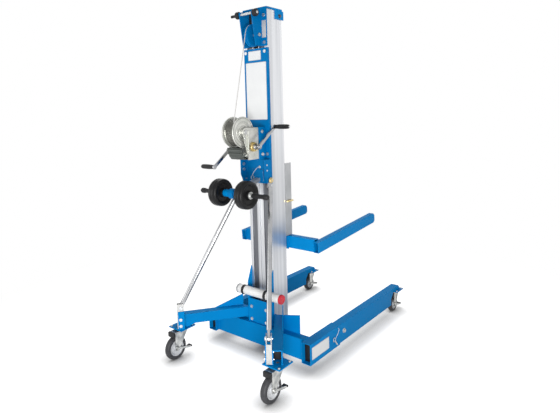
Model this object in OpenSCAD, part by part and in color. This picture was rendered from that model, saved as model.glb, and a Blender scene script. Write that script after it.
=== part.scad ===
// Hand-cranked telescopic material hoist on a wheeled base.
// Lengths are millimetres, +Z is up, +Y is the way the forks point, and the floor is z = 0.
// Most places are measured from the rear face of the mast, then moved by mast_y.

/* [Mast] */
// Height of the mast head above the floor
mast_h = 1962; // [1950:2:2000]
// Width of the fixed rear column
col_w = 160; // [156:1:164]
// Depth of the rear column
rear_col_d = 64; // [63:0.5:66]
// Depth of the front column
front_col_d = 69; // [67:0.5:72]
// Side wall of both columns
col_wall = 5; // [4:0.5:6]
// Height of the column feet above the floor
foot_z = 70; // [68:1:80]
// Height of the bottom edge of the back panel
panel_z = 1000; // [990:1:1004]
// Drop of the back panel's top edge below the mast head
panel_drop = 216; // [214:1:262]
// Top edge of the foot bracket's cheeks
cheek_top_z = 504; // [480:1:540]

/* [Base] */
// Distance between the centre lines of the two legs
track = 706; // [690:2:724]
// Underside of the crossbeam and sleeves above the floor
beam_z = 62; // [58:1:66]
// Height of the crossbeam and sleeves
beam_h = 116; // [112:1:118]
// Depth of the crossbeam
beam_d = 50; // [40:1:56]
// Sheet thickness of the crossbeam and sleeves
beam_wall = 3; // [2:0.5:4]
// Length of a leg sleeve
sleeve_len = 300; // [280:5:320]
// How far a sleeve reaches behind the mast's rear face
sleeve_back = 77; // [70:1:85]
// Height of a rear arm's upper edge
arm_top_z = 252; // [250:1:258]
// Thickness of a rear arm's sheet
arm_wall = 5; // [3:0.5:6]
// Width of a rear arm over its walls
arm_w = 50; // [46:1:56]

/* [Legs] */
// Clearance of a leg in its sleeve, all round
leg_gap = 0.5; // [0.4:0.1:1]
// Sheet thickness of a leg
leg_wall = 3; // [2:0.5:4]
// Front end of the legs, ahead of the mast's rear face
leg_front = 1028; // [1000:4:1060]
// How far a leg's rear end lies inside its sleeve
leg_inset = 30; // [20:1:40]

/* [Casters] */
// Diameter of a rear caster wheel
rear_wheel_d = 138; // [132:1:140]
// Diameter of a front caster wheel
front_wheel_d = 102; // [94:1:104]
// Width of the caster wheels
caster_wheel_w = 32; // [26:1:34]
// Trail of the rear casters
rear_trail = 56; // [48:1:58]
// Trail of the front casters
front_trail = 29; // [24:1:30]
// How far the rear swivel axes lie behind the mast's rear face
rear_swivel_back = 316; // [310:1:330]
// How far the front swivel axes lie behind the leg ends
front_swivel_inset = 25; // [20:1:30]
// Side of a rear caster's mounting plate
rear_plate = 108; // [100:1:112]
// Side of a front caster's mounting plate
front_plate = 94; // [90:1:100]
// Thickness of the caster mounting plates
plate_t = 6; // [5:0.5:8]

/* [Forks] */
// Length of the forks
fork_len = 685; // [600:5:740]
// Width over both forks
fork_spread = 580; // [520:4:600]
// Height of a fork tube
fork_h = 62; // [58:1:66]
// Width of a fork tube
fork_w = 32; // [30:1:40]
// Upward tilt of the forks in degrees
fork_tilt = 4.3; // [0:0.1:6]
// Sheet thickness of the fork tubes
fork_wall = 3; // [2:0.5:5]
// Underside of the fork crossbar above the floor, as shown
fork_z = 597; // [590:1:610]
// Height of the carriage channel
carriage_h = 428; // [400:2:450]

/* [Winch] */
// Diameter of the lift cable
cable_d = 4.8; // [4:0.1:5]
// Radius of the cable's centre line on the drum
wind_r = 72; // [66:0.5:74]
// Radius of the drum flanges
drum_flange_r = 83; // [81:0.5:84]
// Clear width between the drum flanges
drum_w = 66; // [60:1:68]
// Loops in the outer layer of cable
wind_loops = 10; // [6:1:10]
// Teeth on the drum gear
gear_teeth = 72; // [60:12:72]
// Teeth on the crank pinion
pinion_teeth = 18; // [15:3:18]
// Length of a crank arm between centres
crank_len = 175; // [150:1:176]
// Length of a crank grip
grip_len = 94; // [80:1:100]
// Radius of a crank grip
grip_r = 13; // [11:0.5:13]

/* [Transport wheels] */
// Diameter of a transport wheel
transport_d = 150; // [140:1:151]
// Width of a transport wheel
transport_w = 60; // [50:1:64]
// Length of the axle over its grips
transport_span = 484; // [440:2:520]

/* [Top sheave] */
// Radius of the cable's centre line on the top sheave
sheave_cable_r = 57; // [55:0.5:58]
// Radius of the cable's centre line on the column sheaves
pulley_cable_r = 27; // [26:0.5:27.5]

/* [Hidden] */

// One overrun serves every cut, and one weld every overlap inside a piece.
over = 1;
weld = 0.5;
// Running clearance of shafts in bores, face clearance between pieces that pass, and bolt clearance.
run_gap = 0.05;
pass_gap = 1;
seat_gap = 0.3;
bolt_gap = 0.2;
round_fn = 64;

// Paints and finishes.
blue = [0.0, 0.42, 0.72];
alloy = [0.78, 0.79, 0.81];
zinc = [0.72, 0.72, 0.68];
steel = [0.55, 0.56, 0.57];
chrome = [0.85, 0.85, 0.86];
yellow_zinc = [0.78, 0.67, 0.30];
black = [0.07, 0.07, 0.08];
white = [0.92, 0.92, 0.90];
red = [0.80, 0.10, 0.12];
grey = [0.35, 0.36, 0.36];

// The part's origin is the middle of its footprint.
front_plate_front = leg_front - front_swivel_inset + front_plate / 2;
rear_wheel_back = rear_swivel_back + rear_trail + rear_wheel_d / 2;
mast_y = (rear_wheel_back - front_plate_front) / 2;

// Bolts, all one size.
bolt_r = 5;
bolt_head_r = 9.8;
bolt_head_h = 6.4;
bolt_hole_r = bolt_r + bolt_gap;

// Rear column.
cap_t = 10;
col_top_z = mast_h - cap_t;
panel_top_z = mast_h - panel_drop;
col_half = col_w / 2;
rear_web_t = 12;
recess_d = 7;
recess_in = 24;
recess_out = 62;
slot_half = 4;
lip_t = 6;
rear_slot_half = 45;
column_gap = 1.5;

// Front column, with the rail that runs behind the rear column's lips.
front_y = rear_col_d + column_gap;
front_end_y = front_y + front_col_d;
front_step = 2.5;
front_half = col_half - front_step;
front_web_t = 6;
rail_t = 11.5;
rail_half = 70;
neck_half = 40;
front_slot_half = 40;
rail_front = rear_col_d - lip_t - pass_gap;

// Cable line: over the top sheave, down inside, under the foot pulley, up and over the head pulley.
cable_r = cable_d / 2;
sheave_y = -24;
sheave_drop = 148;
sheave_z = mast_h - sheave_drop;
groove_clear = 0.5;
groove_floor = 2.8;
groove_rim = 5.5;
sheave_rim = 3;
sheave_half = 12;
sheave_window_gap = 6;
pulley_rim = 3.5;
pulley_half = 7;
down_y = sheave_y + sheave_cable_r;
foot_pulley_y = down_y + pulley_cable_r;
foot_pulley_rise = 45;
foot_pulley_z = foot_z + foot_pulley_rise;
up_y = down_y + 2 * pulley_cable_r;
head_pulley_y = up_y + pulley_cable_r;
head_pulley_drop = 40;
head_pulley_z = col_top_z - head_pulley_drop;
fall_y = up_y + 2 * pulley_cable_r;
pulley_pin_r = 6;
ear_t = 5;
ear_h = 46;
ear_back_in = 12;
ear_front_out = 15;
head_tip_out = 42;
pulley_slot_half = 12;
pulley_slot_gap = 4;

// Carriage and fork frame.
carriage_gap = 3.5;
carriage_y = front_end_y + carriage_gap;
carriage_t = 5;
carriage_half = 78;
carriage_d = 56;
bar_h = 72;
carriage_lift_off = 4;
carriage_bottom = fork_z + bar_h + carriage_lift_off;
carriage_top = carriage_bottom + carriage_h;
anchor_h = 30;
anchor_half = 14;
anchor_d = 16;
carriage_rail_half = 66;
carriage_neck_half = 34;
carriage_rail_inset = 20;
carriage_rail_front = front_end_y - lip_t - pass_gap;
post_gap = 5;
post_half = carriage_half - carriage_t - post_gap;
post_back_gap = 3;
post_y = carriage_y + carriage_t + post_back_gap;
post_d = 44;
post_h = 252;
post_wall = 4;
bar_d = 40;
bar_back = 24;
bar_y = carriage_y + bar_back;
fork_back = 8;
hook_t = 8;
hook_half = 76;
hook_drop = 6;
tip_round = 14;
pin_above_bar = 209;
fork_pin_z = fork_z + bar_h + pin_above_bar;
fork_pin_y = post_y + post_d / 2;
fork_pin_r = 6;
fork_pin_in = 16;
handle_r = 5;
handle_len = 56;
handle_out = 9;

// Base frame.
beam_top_z = beam_z + beam_h;
leg_w = 51;
sleeve_w = leg_w + 2 * (leg_gap + beam_wall);
leg_h = beam_h - 2 * (leg_gap + beam_wall);
leg_z = beam_z + beam_wall + leg_gap;
beam_half = track / 2 - sleeve_w / 2;
shelf_half = 82;

// Foot bracket that holds the rear column on the crossbeam, the gussets beside it and the right tie plate.
foot_plate_t = 6;
foot_half = 84;
foot_y = -36;
foot_lip_half = 60;
foot_lip_t = 4;
foot_plate_top = 319;
cheek_low_z = 413;
foot_bolt_x = 54;
foot_bolt_zs = [198, 273];
gusset_in = foot_half + seat_gap;
gusset_out = 200;
gusset_t = 5;
gusset_top_z = 243;
tie_out = 264;
tie_top_z = 285;

// Rear arms: a straight channel, open below, from the gusset to the rear caster plate.
plate_x = track / 2;
arm_start = [124, -8];
arm_run = [plate_x - arm_start[0], -rear_swivel_back - arm_start[1]];
arm_reach = norm(arm_run);
arm_turn = atan2(arm_run[1], arm_run[0]);
arm_past = 24;
arm_len = arm_reach + arm_past;
// Both sheets start against the gusset.
arm_in_start = -(gusset_t + seat_gap + arm_start[1] + cos(arm_turn) * (arm_wall - arm_w / 2)) / sin(arm_turn);
wing_start = -(gusset_t + seat_gap + arm_start[1] + cos(arm_turn) * arm_w / 2) / sin(arm_turn);
rear_plate_z = 173;
arm_low_z = rear_plate_z + plate_t - weld;
arm_waist_z = 194;
arm_foot_len = 60;
arm_flare_len = 100;
wing_share = 0.46;
wing_top_z = 318;
arm_deck_t = 5;

// Clips between an arm's inner sheet and its cheek, and the braces from them to the lower bracket.
clip_t = 4;
clip_len = 34;
clip_gap = 20;
clip_out = -arm_w / 2 - seat_gap;
clip_in = clip_out - 2 * clip_t - clip_gap;
arm_cheek_in = clip_in - seat_gap - arm_wall;
arm_cheek_len = 36;
clip_grip = arm_wall - arm_w / 2 - arm_cheek_in;
clip_low_z = 183;
clip_plate_top = 283;
clip_top_z = 325;
clip_bolt_in = 14;
clip_bolt_zs = [201, 238];
brace_r = 12.5;
eye_r = 14;
eye_t = 12;
top_eye_t = 8;
brace_low_in = 17;
brace_low_z = 303;
brace_taper = 40;
lug_w = 24;
lug_over = 8;
brace_mid = (clip_in + clip_out) / 2;
brace_low = [
    arm_start[0] + (arm_len - brace_low_in) * cos(arm_turn) - brace_mid * sin(arm_turn),
    arm_start[1] + (arm_len - brace_low_in) * sin(arm_turn) + brace_mid * cos(arm_turn),
    brace_low_z];
brace_top_y = -18;
brace_top_rise = 22;

// Back panel and lower bracket on the mast's rear face.
panel_t = 3;
panel_lip = 12;
panel_clear = 1.5;
panel_half = col_half + panel_clear + panel_t;
bracket_half = 90;
bracket_t = 5;
bracket_d = 50;
bracket_h = 138;
bracket_y = -panel_t - bracket_t;
bracket_top = panel_z + bracket_h;
brace_top = [bracket_half + seat_gap + top_eye_t / 2, brace_top_y, panel_z + brace_top_rise];
flange_bolt_y = -38;
flange_bolt_rises = [78, 108];
panel_bolt_x = 68;
panel_bolt_drop = 20;
panel_bolt_rise = 166;
panel_bolt_zs = [panel_z + panel_bolt_rise, panel_top_z - panel_bolt_drop];
tapped_depth = 9;

// Top bracket, its sheave pin and the two rubber load rollers.
top_web_in = 41;
top_web_t = 5;
top_flange_t = 4;
top_panel_gap = 9;
top_low_z = panel_top_z + top_panel_gap;
top_low_back = 52;
top_high_back = 80;
top_high_drop = 28;
top_cap_half = 85;
window_edge = 5;
window_w = 30;
window_out = top_cap_half - window_edge;
window_in = window_out - window_w;
window_drop = 72;
window_h = 91;
top_bolt_edge = 17;
top_bolt_x = top_cap_half - top_bolt_edge;
top_bolt_drops = [45, 189];
top_cap_back = 4;
top_cap_front = 40;
sheave_pin_r = 9;
sheave_pin_half = 52;
roller_y = -68;
roller_drop = 39;
roller_z = mast_h - roller_drop;
roller_r = 20;
roller_w = 22;
roller_in = 50;
roller_pin_r = 7;
roller_pin_left = 110;
roller_pin_right = 76;

// Winch.
winch_plate_t = 4;
winch_half = 54;
winch_z = 1144;
winch_top = 1314;
winch_base_t = 6;
winch_back = 146;
axle_y = -164;
axle_z = 1293;
axle_boss_r = 24;
axle_r = 10;
axle_head_r = 14;
axle_head_t = 4;
shaft_y = -112;
shaft_z = 1213;
shaft_r = 8;
shaft_half = 106;
gear_step = [shaft_y - axle_y, shaft_z - axle_z];
gear_span = norm(gear_step);
gear_turn = atan2(gear_step[1], gear_step[0]);
gear_module = 2 * gear_span / (gear_teeth + pinion_teeth);
gear_inner = 40;
tooth_out_share = 0.8;
tooth_in_share = 1.1;
root_share = 0.30;
tip_share = 0.11;
gear_t = 8;
pinion_over = 1;
drum_flange_t = 3;
drum_hub_r = 18;
drum_hub_half = winch_half - winch_plate_t - pass_gap / 2;
guard_t = 3;
guard_low_z = 1147;
guard_rise = 62;
guard_front = -60;
guard_back = -186;
guard_lip = 16;
brake_r = 26;
brake_rim_r = 22;
brake_t = 20;
brake_gap = 2;
crank_in = 94;
crank_t = 8;
crank_w = 16;
crank_hub_r = 14;
crank_end_r = 12;
crank_tilt = 36;
grip_pin_r = 6;
grip_gap = 2;
grip_pin_over = 4;
grip_neck_share = 0.78;

// Outer layer of cable: an even helix with a straight tail at each end.
wind_rings = 24;
wind_sides = 6;
wind_gap = 0.6;
wind_pitch = cable_d + wind_gap;
wind_end_x = wind_loops * wind_pitch / 2;
wind_tail = 32;
wind_start_tail = cable_d;
lift_wrap_rings = 24;
// The cable leaves the rear of the drum along the line that also touches the rear of the top sheave.
cable_step = [sheave_y - axle_y, sheave_z - axle_z];
cable_lean = atan2(cable_step[0], cable_step[1]) + asin((wind_r - sheave_cable_r) / norm(cable_step));
cable_rise = [0, sin(cable_lean), cos(cable_lean)];

// Transport wheels on the lower bracket.
transport_y = -219;
transport_z = 969;
transport_tube_r = 20;
transport_rod_r = 10;
transport_in = 64;
transport_tube_half = 60;
transport_hub_r = 24;
transport_dish = 14;
transport_shoulder = 12;
transport_grip_len = 98;
transport_grip_r = 15;
arm_plate_half = 40;
arm_plate_t = 6;
arm_plate_low = 12;
arm_plate_h = 66;
arm_bar_half = 16;
arm_bar_h = 20;
arm_ring_r = 27;

// Document tube strapped to the foot bracket's cheeks.
doc_r = 25;
doc_wall = 2;
doc_left = -129;
doc_len = 322;
doc_z = 376;
cap_r_over = 1.6;
cap_len = 14;
strap_t = 3;
strap_w = 16;
doc_y = foot_y - doc_r - strap_t;

// Casters.
crown_r = 30;
crown_t = 9;
crown_gap = 0.5;
crown_arm_t = 6;
king_r = 8;
fork_leg_t = 4;
fork_leg_gap = 3;
fork_axle_r = 6;
fork_eye_r = 15;
fork_front = 20;
shoe_len = 44;
shoe_clear = 4;
shoe_half = 16;
front_plate_z = 141;
leg_cut_back = 100;
leg_cut_step = 32;
leg_cut_low_z = 106;
leg_chamfer = 14;
pedal_t = 4;
pedal_eye_r = 13;
pedal_bar_h = 12;
pedal_reach_share = 1.1;
pedal_drop_share = 0.18;
pedal_tab = 22;
pedal_tab_w = 26;
stop_bolt_ahead = 49;
stop_bolt_z = 126;
bead_r = 4;
tyre_share = 0.74;
dish_share = 0.5;
round_share = 0.48;
hub_share = 0.3;

// Lock pins on their lanyards.
lock_pin_r = 4;
lock_pin_len = 38;
ring_r = 11;
ring_wire_r = 1.5;
hitch_x = -30;
hitch_rise = 32;
leg_pin_y = 158;
leg_pin_z = 110;
leg_pin_tilt = 38;
leg_pin_out = 6;
lanyard_r = 1.2;
lanyard_sides = 8;
lanyard_points = 16;
// Each lanyard leaves its crimp towards one guide point and reaches its pin from another, measured
// from the mast's rear face.
leg_lanyard_guides = [[382, 205, 164], [394, 206, 164], [389, 180, 134], [388, 164, 122]];
hitch_lanyard_guides = [[10, -8, 1092], [12, -32, 1092], [-22, -28, 1064], [-30, -25, 1045]];

function guided(g, t) = pow(1 - t, 3) * g[0] + 3 * t * pow(1 - t, 2) * g[1]
    + 3 * pow(t, 2) * (1 - t) * g[2] + pow(t, 3) * g[3];
function lanyard_route(guides) = [for (i = [0 : lanyard_points - 1]) guided(guides, i / (lanyard_points - 1))];

module mast_frame() {
    translate([0, mast_y, 0]) children();
}

module both_sides() {
    children();
    mirror([1, 0, 0]) children();
}

module block(low, high) {
    translate(low) cube(high - low);
}

// Outline in (y, z), extruded along +X from x_from.
module side_plate(x_from, thick) {
    translate([x_from, 0, 0]) rotate([90, 0, 90]) linear_extrude(thick) children();
}

module x_rod(r, x_from, x_to) {
    translate([x_from, 0, 0]) rotate([0, 90, 0]) cylinder(r = r, h = x_to - x_from, $fn = round_fn);
}

// A turned piece on the X axis, from an outline of (radius, x).
module x_turned() {
    rotate([0, 90, 0]) rotate_extrude($fn = round_fn) children();
}

// A rod whose ends are any two points.
module rod_between(from, to, r) {
    step = to - from;
    translate(from) rotate([0, acos(step[2] / norm(step)), atan2(step[1], step[0])])
        cylinder(r = r, h = norm(step), $fn = round_fn);
}

module bolt(shank) {
    cylinder(r = bolt_head_r, h = bolt_head_h, $fn = 6);
    translate([0, 0, -shank]) cylinder(r = bolt_r, h = shank + weld, $fn = round_fn);
}

module bolt_hole(depth) {
    translate([0, 0, -depth - over]) cylinder(r = bolt_hole_r, h = depth + 2 * over, $fn = round_fn);
}

module facing_rear() {
    rotate([90, 0, 0]) children();
}

module facing_right() {
    rotate([0, 90, 0]) children();
}

module facing_left() {
    rotate([0, -90, 0]) children();
}

// Places of the bolts, shared by the bolts and by the holes that take them.
module at_foot_bolts() {
    both_sides() for (z = foot_bolt_zs) translate([foot_bolt_x, foot_y, z]) facing_rear() children();
}

module at_panel_bolts() {
    both_sides() for (z = panel_bolt_zs) translate([panel_bolt_x, -panel_t, z]) facing_rear() children();
}

module at_top_bolts() {
    both_sides() for (drop = top_bolt_drops)
        translate([top_bolt_x, -top_flange_t, mast_h - drop]) facing_rear() children();
}

module at_flange_bolts() {
    both_sides() for (rise = flange_bolt_rises)
        translate([bracket_half - bracket_t, flange_bolt_y, panel_z + rise]) facing_left() children();
}

module at_clip_bolts() {
    both_sides() on_arm() for (z = clip_bolt_zs)
        translate([arm_len - clip_bolt_in, arm_cheek_in, z]) facing_rear() children();
}

module at_brace_low_bolts() {
    both_sides() on_arm() translate([arm_len - brace_low_in, clip_in, brace_low_z]) facing_rear() children();
}

module at_brace_top_bolts() {
    both_sides() translate(brace_top + [top_eye_t / 2, 0, 0]) facing_right() children();
}

// Arm frame of the right arm: +X runs along the arm and +Y points to its outer side.
module on_arm() {
    translate([arm_start[0], arm_start[1], 0]) rotate([0, 0, arm_turn]) children();
}

module arm_sheet(y_from) {
    translate([0, y_from + arm_wall, 0]) rotate([90, 0, 0]) linear_extrude(arm_wall) children();
}

module base_frame() {
    color(blue) mast_frame() difference() {
        union() {
            block([-beam_half - weld, -beam_d, beam_z], [beam_half + weld, 0, beam_top_z]);
            both_sides() block([beam_half, -sleeve_back, beam_z],
                [beam_half + sleeve_w, sleeve_len - sleeve_back, beam_top_z]);
            both_sides() block([gusset_in, -gusset_t, beam_top_z - weld], [gusset_out, 0, gusset_top_z]);
            rotate([90, 0, 0]) linear_extrude(gusset_t)
                polygon([[gusset_in, beam_top_z - weld], [tie_out, beam_top_z - weld], [tie_out, tie_top_z],
                    [gusset_in, gusset_top_z]]);
            block([-shelf_half, -weld, beam_z], [shelf_half, front_end_y + pass_gap, foot_z]);
        }
        block([-beam_half, beam_wall - beam_d, beam_z + beam_wall],
            [beam_half, -beam_wall, beam_top_z - beam_wall]);
        both_sides() block([track / 2 - leg_w / 2 - leg_gap, -sleeve_back - over, beam_z + beam_wall],
            [track / 2 + leg_w / 2 + leg_gap, sleeve_len - sleeve_back + over, beam_top_z - beam_wall]);
    }
}

module right_arm_shape() {
    low_end = [[arm_len, arm_top_z], [arm_len, arm_low_z], [arm_len - arm_foot_len, arm_low_z],
        [arm_len - arm_flare_len, arm_waist_z]];
    difference() {
        union() {
            on_arm() {
                arm_sheet(-arm_w / 2)
                    polygon(concat([[arm_in_start, arm_waist_z], [arm_in_start, arm_top_z]], low_end));
                arm_sheet(arm_w / 2 - arm_wall)
                    polygon(concat([[wing_start, arm_waist_z], [wing_start, wing_top_z],
                        [arm_len * wing_share, arm_top_z]], low_end));
                translate([0, 0, arm_top_z - arm_deck_t]) linear_extrude(arm_deck_t)
                    polygon([[arm_in_start, weld - arm_w / 2], [wing_start, arm_w / 2 - weld],
                        [arm_len, arm_w / 2 - weld], [arm_len, weld - arm_w / 2]]);
                block([arm_len - arm_cheek_len, arm_cheek_in, arm_low_z],
                    [arm_len, arm_cheek_in + arm_wall, clip_plate_top]);
            }
            translate([plate_x - rear_plate / 2, -rear_swivel_back - rear_plate / 2, rear_plate_z])
                cube([rear_plate, rear_plate, plate_t]);
        }
        translate([plate_x, -rear_swivel_back, rear_plate_z - over])
            cylinder(r = king_r + run_gap, h = plate_t + 2 * over, $fn = round_fn);
        at_clip_bolts() bolt_hole(clip_grip);
    }
}

module right_arm() {
    color(blue) mast_frame() right_arm_shape();
}

module left_arm() {
    color(blue) mast_frame() mirror([1, 0, 0]) right_arm_shape();
}

module brace_clips() {
    color(zinc) mast_frame() difference() {
        both_sides() on_arm() {
            for (y = [clip_in, clip_out - clip_t])
                block([arm_len - clip_len, y, clip_low_z], [arm_len + clip_t, y + clip_t, clip_top_z]);
            block([arm_len, clip_in, clip_low_z], [arm_len + clip_t, clip_out, clip_plate_top]);
        }
        at_clip_bolts() bolt_hole(clip_grip);
        at_brace_low_bolts() bolt_hole(clip_out - clip_in);
    }
}

// A round bar with a flat lug at each end: one between the clip's legs, one against the bracket.
module brace_shape() {
    along = (brace_top - brace_low) / norm(brace_top - brace_low);
    low_slope = atan2(along[2], -norm([along[0], along[1]]));
    top_slope = atan2(-along[2], -along[1]);
    difference() {
        union() {
            rod_between(brace_low + along * brace_taper, brace_top - along * brace_taper, brace_r);
            on_arm() translate([arm_len - brace_low_in, brace_mid + eye_t / 2, brace_low_z])
                rotate([90, 0, 0]) linear_extrude(eye_t) lug_outline(low_slope);
            translate([-top_eye_t / 2, brace_top[1], brace_top[2]]) side_plate(brace_top[0], top_eye_t)
                lug_outline(top_slope);
        }
        at_brace_low_bolts() bolt_hole(clip_out - clip_in);
        at_brace_top_bolts() bolt_hole(top_eye_t);
    }
}

module lug_outline(slope) {
    circle(r = eye_r, $fn = round_fn);
    rotate(slope) translate([0, -lug_w / 2]) square([brace_taper + lug_over, lug_w]);
}

module right_brace() {
    color(chrome) mast_frame() brace_shape();
}

module left_brace() {
    color(chrome) mast_frame() mirror([1, 0, 0]) brace_shape();
}

module frame_bolts() {
    color(steel) mast_frame() {
        at_foot_bolts() bolt(foot_plate_t + bolt_r);
        at_panel_bolts() bolt(panel_t + tapped_depth - pass_gap);
        at_top_bolts() bolt(top_flange_t + tapped_depth - pass_gap);
        at_flange_bolts() bolt(bracket_t);
        at_clip_bolts() bolt(clip_grip + bolt_r);
        at_brace_low_bolts() bolt(clip_out - clip_in + bolt_r);
        at_brace_top_bolts() bolt(top_eye_t + seat_gap + bracket_t + bolt_r);
    }
}

module mast_foot() {
    color(blue) mast_frame() difference() {
        union() {
            block([-foot_half, foot_y, beam_top_z], [foot_half, foot_y + foot_plate_t, foot_plate_top]);
            both_sides() side_plate(foot_half - foot_plate_t, foot_plate_t)
                polygon([[foot_y, beam_top_z], [foot_y, cheek_low_z], [0, cheek_top_z], [0, beam_top_z]]);
            block([-foot_lip_half, -beam_d, beam_top_z],
                [foot_lip_half, foot_y + weld, beam_top_z + foot_lip_t]);
        }
        at_foot_bolts() bolt_hole(foot_plate_t);
    }
}

module rear_column_outline() {
    difference() {
        translate([-col_half, 0]) square([col_w, rear_col_d]);
        translate([col_wall - col_half, rear_web_t])
            square([col_w - 2 * col_wall, rear_col_d - rear_web_t - lip_t]);
        translate([-rear_slot_half, rear_col_d - lip_t - over])
            square([2 * rear_slot_half, lip_t + 2 * over]);
        for (side = [-1, 1])
            translate([side * (recess_in + recess_out) / 2, (recess_d - over) / 2])
                square([recess_out - recess_in, recess_d + over], center = true);
        translate([-slot_half, -over]) square([2 * slot_half, recess_d + over]);
    }
}

module rear_column() {
    window_half = sheave_half + sheave_window_gap;
    window_r = sheave_cable_r + sheave_rim + sheave_window_gap;
    color(alloy) mast_frame() difference() {
        translate([0, 0, foot_z]) linear_extrude(col_top_z - foot_z) rear_column_outline();
        block([-window_half, -over, sheave_z - window_r],
            [window_half, rear_web_t + over, sheave_z + window_r]);
        at_panel_bolts() bolt_hole(panel_t + tapped_depth);
        at_top_bolts() bolt_hole(top_flange_t + tapped_depth);
    }
}

module back_panel() {
    color(blue) mast_frame() difference() {
        union() {
            block([-panel_half, -panel_t, panel_z], [panel_half, 0, panel_top_z]);
            both_sides() block([panel_half - panel_t, -weld, panel_z], [panel_half, panel_lip, panel_top_z]);
        }
        at_panel_bolts() bolt_hole(panel_t);
        hitch_pin_hole();
    }
}

module hitch_pin_hole() {
    translate([hitch_x, over, panel_z + hitch_rise]) facing_rear()
        cylinder(r = lock_pin_r + run_gap, h = lock_pin_len, $fn = round_fn);
}

module lower_bracket() {
    color(blue) mast_frame() difference() {
        union() {
            block([-bracket_half, bracket_y, panel_z], [bracket_half, -panel_t, bracket_top]);
            both_sides() side_plate(bracket_half - bracket_t, bracket_t)
                polygon([[bracket_y + weld, panel_z], [bracket_y - bracket_d / 2, panel_z],
                    [bracket_y - bracket_d, panel_z + bracket_d], [bracket_y - bracket_d, bracket_top],
                    [bracket_y + weld, bracket_top]]);
        }
        at_flange_bolts() bolt_hole(bracket_t);
        at_brace_top_bolts() bolt_hole(top_eye_t + seat_gap + bracket_t);
        hitch_pin_hole();
    }
}

module top_bracket() {
    color(blue) mast_frame() difference() {
        union() {
            both_sides() {
                side_plate(top_web_in, top_web_t)
                    polygon([[0, top_low_z], [-top_low_back, top_low_z], [-top_high_back, roller_z],
                        [-top_high_back, mast_h - top_high_drop], [-top_cap_back, col_top_z + weld],
                        [0, col_top_z + weld]]);
                difference() {
                    block([top_web_in, -top_flange_t, top_low_z], [top_cap_half, 0, col_top_z + weld]);
                    block([window_in, -top_flange_t - over, mast_h - window_drop - window_h],
                        [window_out, over, mast_h - window_drop]);
                }
            }
            block([-top_cap_half, -top_cap_back, col_top_z], [top_cap_half, top_cap_front, mast_h]);
        }
        at_top_bolts() bolt_hole(top_flange_t);
        translate([0, sheave_y, sheave_z])
            x_rod(sheave_pin_r + run_gap, -sheave_pin_half - over, sheave_pin_half + over);
        translate([0, roller_y, roller_z]) x_rod(roller_pin_r + run_gap, -roller_pin_left, roller_pin_right);
    }
}

module axle_pins() {
    color(steel) mast_frame() {
        translate([0, sheave_y, sheave_z]) x_rod(sheave_pin_r, -sheave_pin_half, sheave_pin_half);
        translate([0, roller_y, roller_z]) x_rod(roller_pin_r, -roller_pin_left, roller_pin_right);
        translate([0, axle_y, axle_z]) {
            x_rod(axle_r, -winch_half - axle_head_t, winch_half + axle_head_t);
            both_sides() x_rod(axle_head_r, winch_half, winch_half + axle_head_t);
        }
    }
}

module document_tube() {
    color(white) mast_frame() translate([0, doc_y, doc_z]) difference() {
        x_rod(doc_r, doc_left, doc_left + doc_len);
        x_rod(doc_r - doc_wall, doc_left - over, doc_left + doc_len + over);
    }
}

module tube_caps() {
    color(red) mast_frame() translate([0, doc_y, doc_z]) for (end_x = [doc_left, doc_left + doc_len])
        translate([end_x, 0, 0]) mirror([end_x > doc_left ? 0 : 1, 0, 0]) difference() {
            x_rod(doc_r + cap_r_over, -cap_len, doc_wall);
            x_rod(doc_r + run_gap, -cap_len - over, 0);
        }
}

module tube_clamps() {
    color(black) mast_frame() both_sides() translate([foot_half - foot_plate_t / 2, doc_y, doc_z])
        difference() {
            x_rod(doc_r + strap_t, -strap_w / 2, strap_w / 2);
            x_rod(doc_r + run_gap, -strap_w, strap_w);
        }
}

module winch_side() {
    polygon([[-panel_t, winch_z], [-winch_back, winch_z], [axle_y - axle_boss_r, axle_z],
        [axle_y, axle_z + axle_boss_r], [-panel_t, winch_top]]);
    translate([axle_y, axle_z]) circle(r = axle_boss_r, $fn = round_fn);
}

module winch_frame() {
    color(zinc) mast_frame() difference() {
        union() {
            block([-winch_half, -panel_t - winch_base_t, winch_z], [winch_half, -panel_t, winch_top]);
            both_sides() side_plate(winch_half - winch_plate_t, winch_plate_t) winch_side();
        }
        translate([0, axle_y, axle_z]) x_rod(axle_r + run_gap, -winch_half - over, winch_half + over);
        translate([0, shaft_y, shaft_z]) x_rod(shaft_r + run_gap, -winch_half - over, winch_half + over);
    }
}

module winch_guard() {
    half = winch_half - winch_plate_t;
    outline = [[guard_front, guard_low_z], [guard_back + guard_lip, guard_low_z],
        [guard_back, guard_low_z + guard_lip], [guard_back - guard_lip, guard_low_z + guard_rise]];
    inner = [for (i = [len(outline) - 1 : -1 : 0]) outline[i] + [guard_t, guard_t]];
    color(grey) mast_frame() side_plate(-half, 2 * half) polygon(concat(outline, inner));
}

// Outline of a spur gear with straight-sided teeth and wide backlash.
module gear_outline(teeth, phase) {
    pitch_r = gear_module * teeth / 2;
    tip_r = pitch_r + gear_module * tooth_out_share;
    root_r = pitch_r - gear_module * tooth_in_share;
    step = 360 / teeth;
    polygon([for (i = [0 : teeth - 1]) let (a = phase + i * step)
        each [root_r * [cos(a - step * root_share), sin(a - step * root_share)],
            tip_r * [cos(a - step * tip_share), sin(a - step * tip_share)],
            tip_r * [cos(a + step * tip_share), sin(a + step * tip_share)],
            root_r * [cos(a + step * root_share), sin(a + step * root_share)]]]);
}

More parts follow.
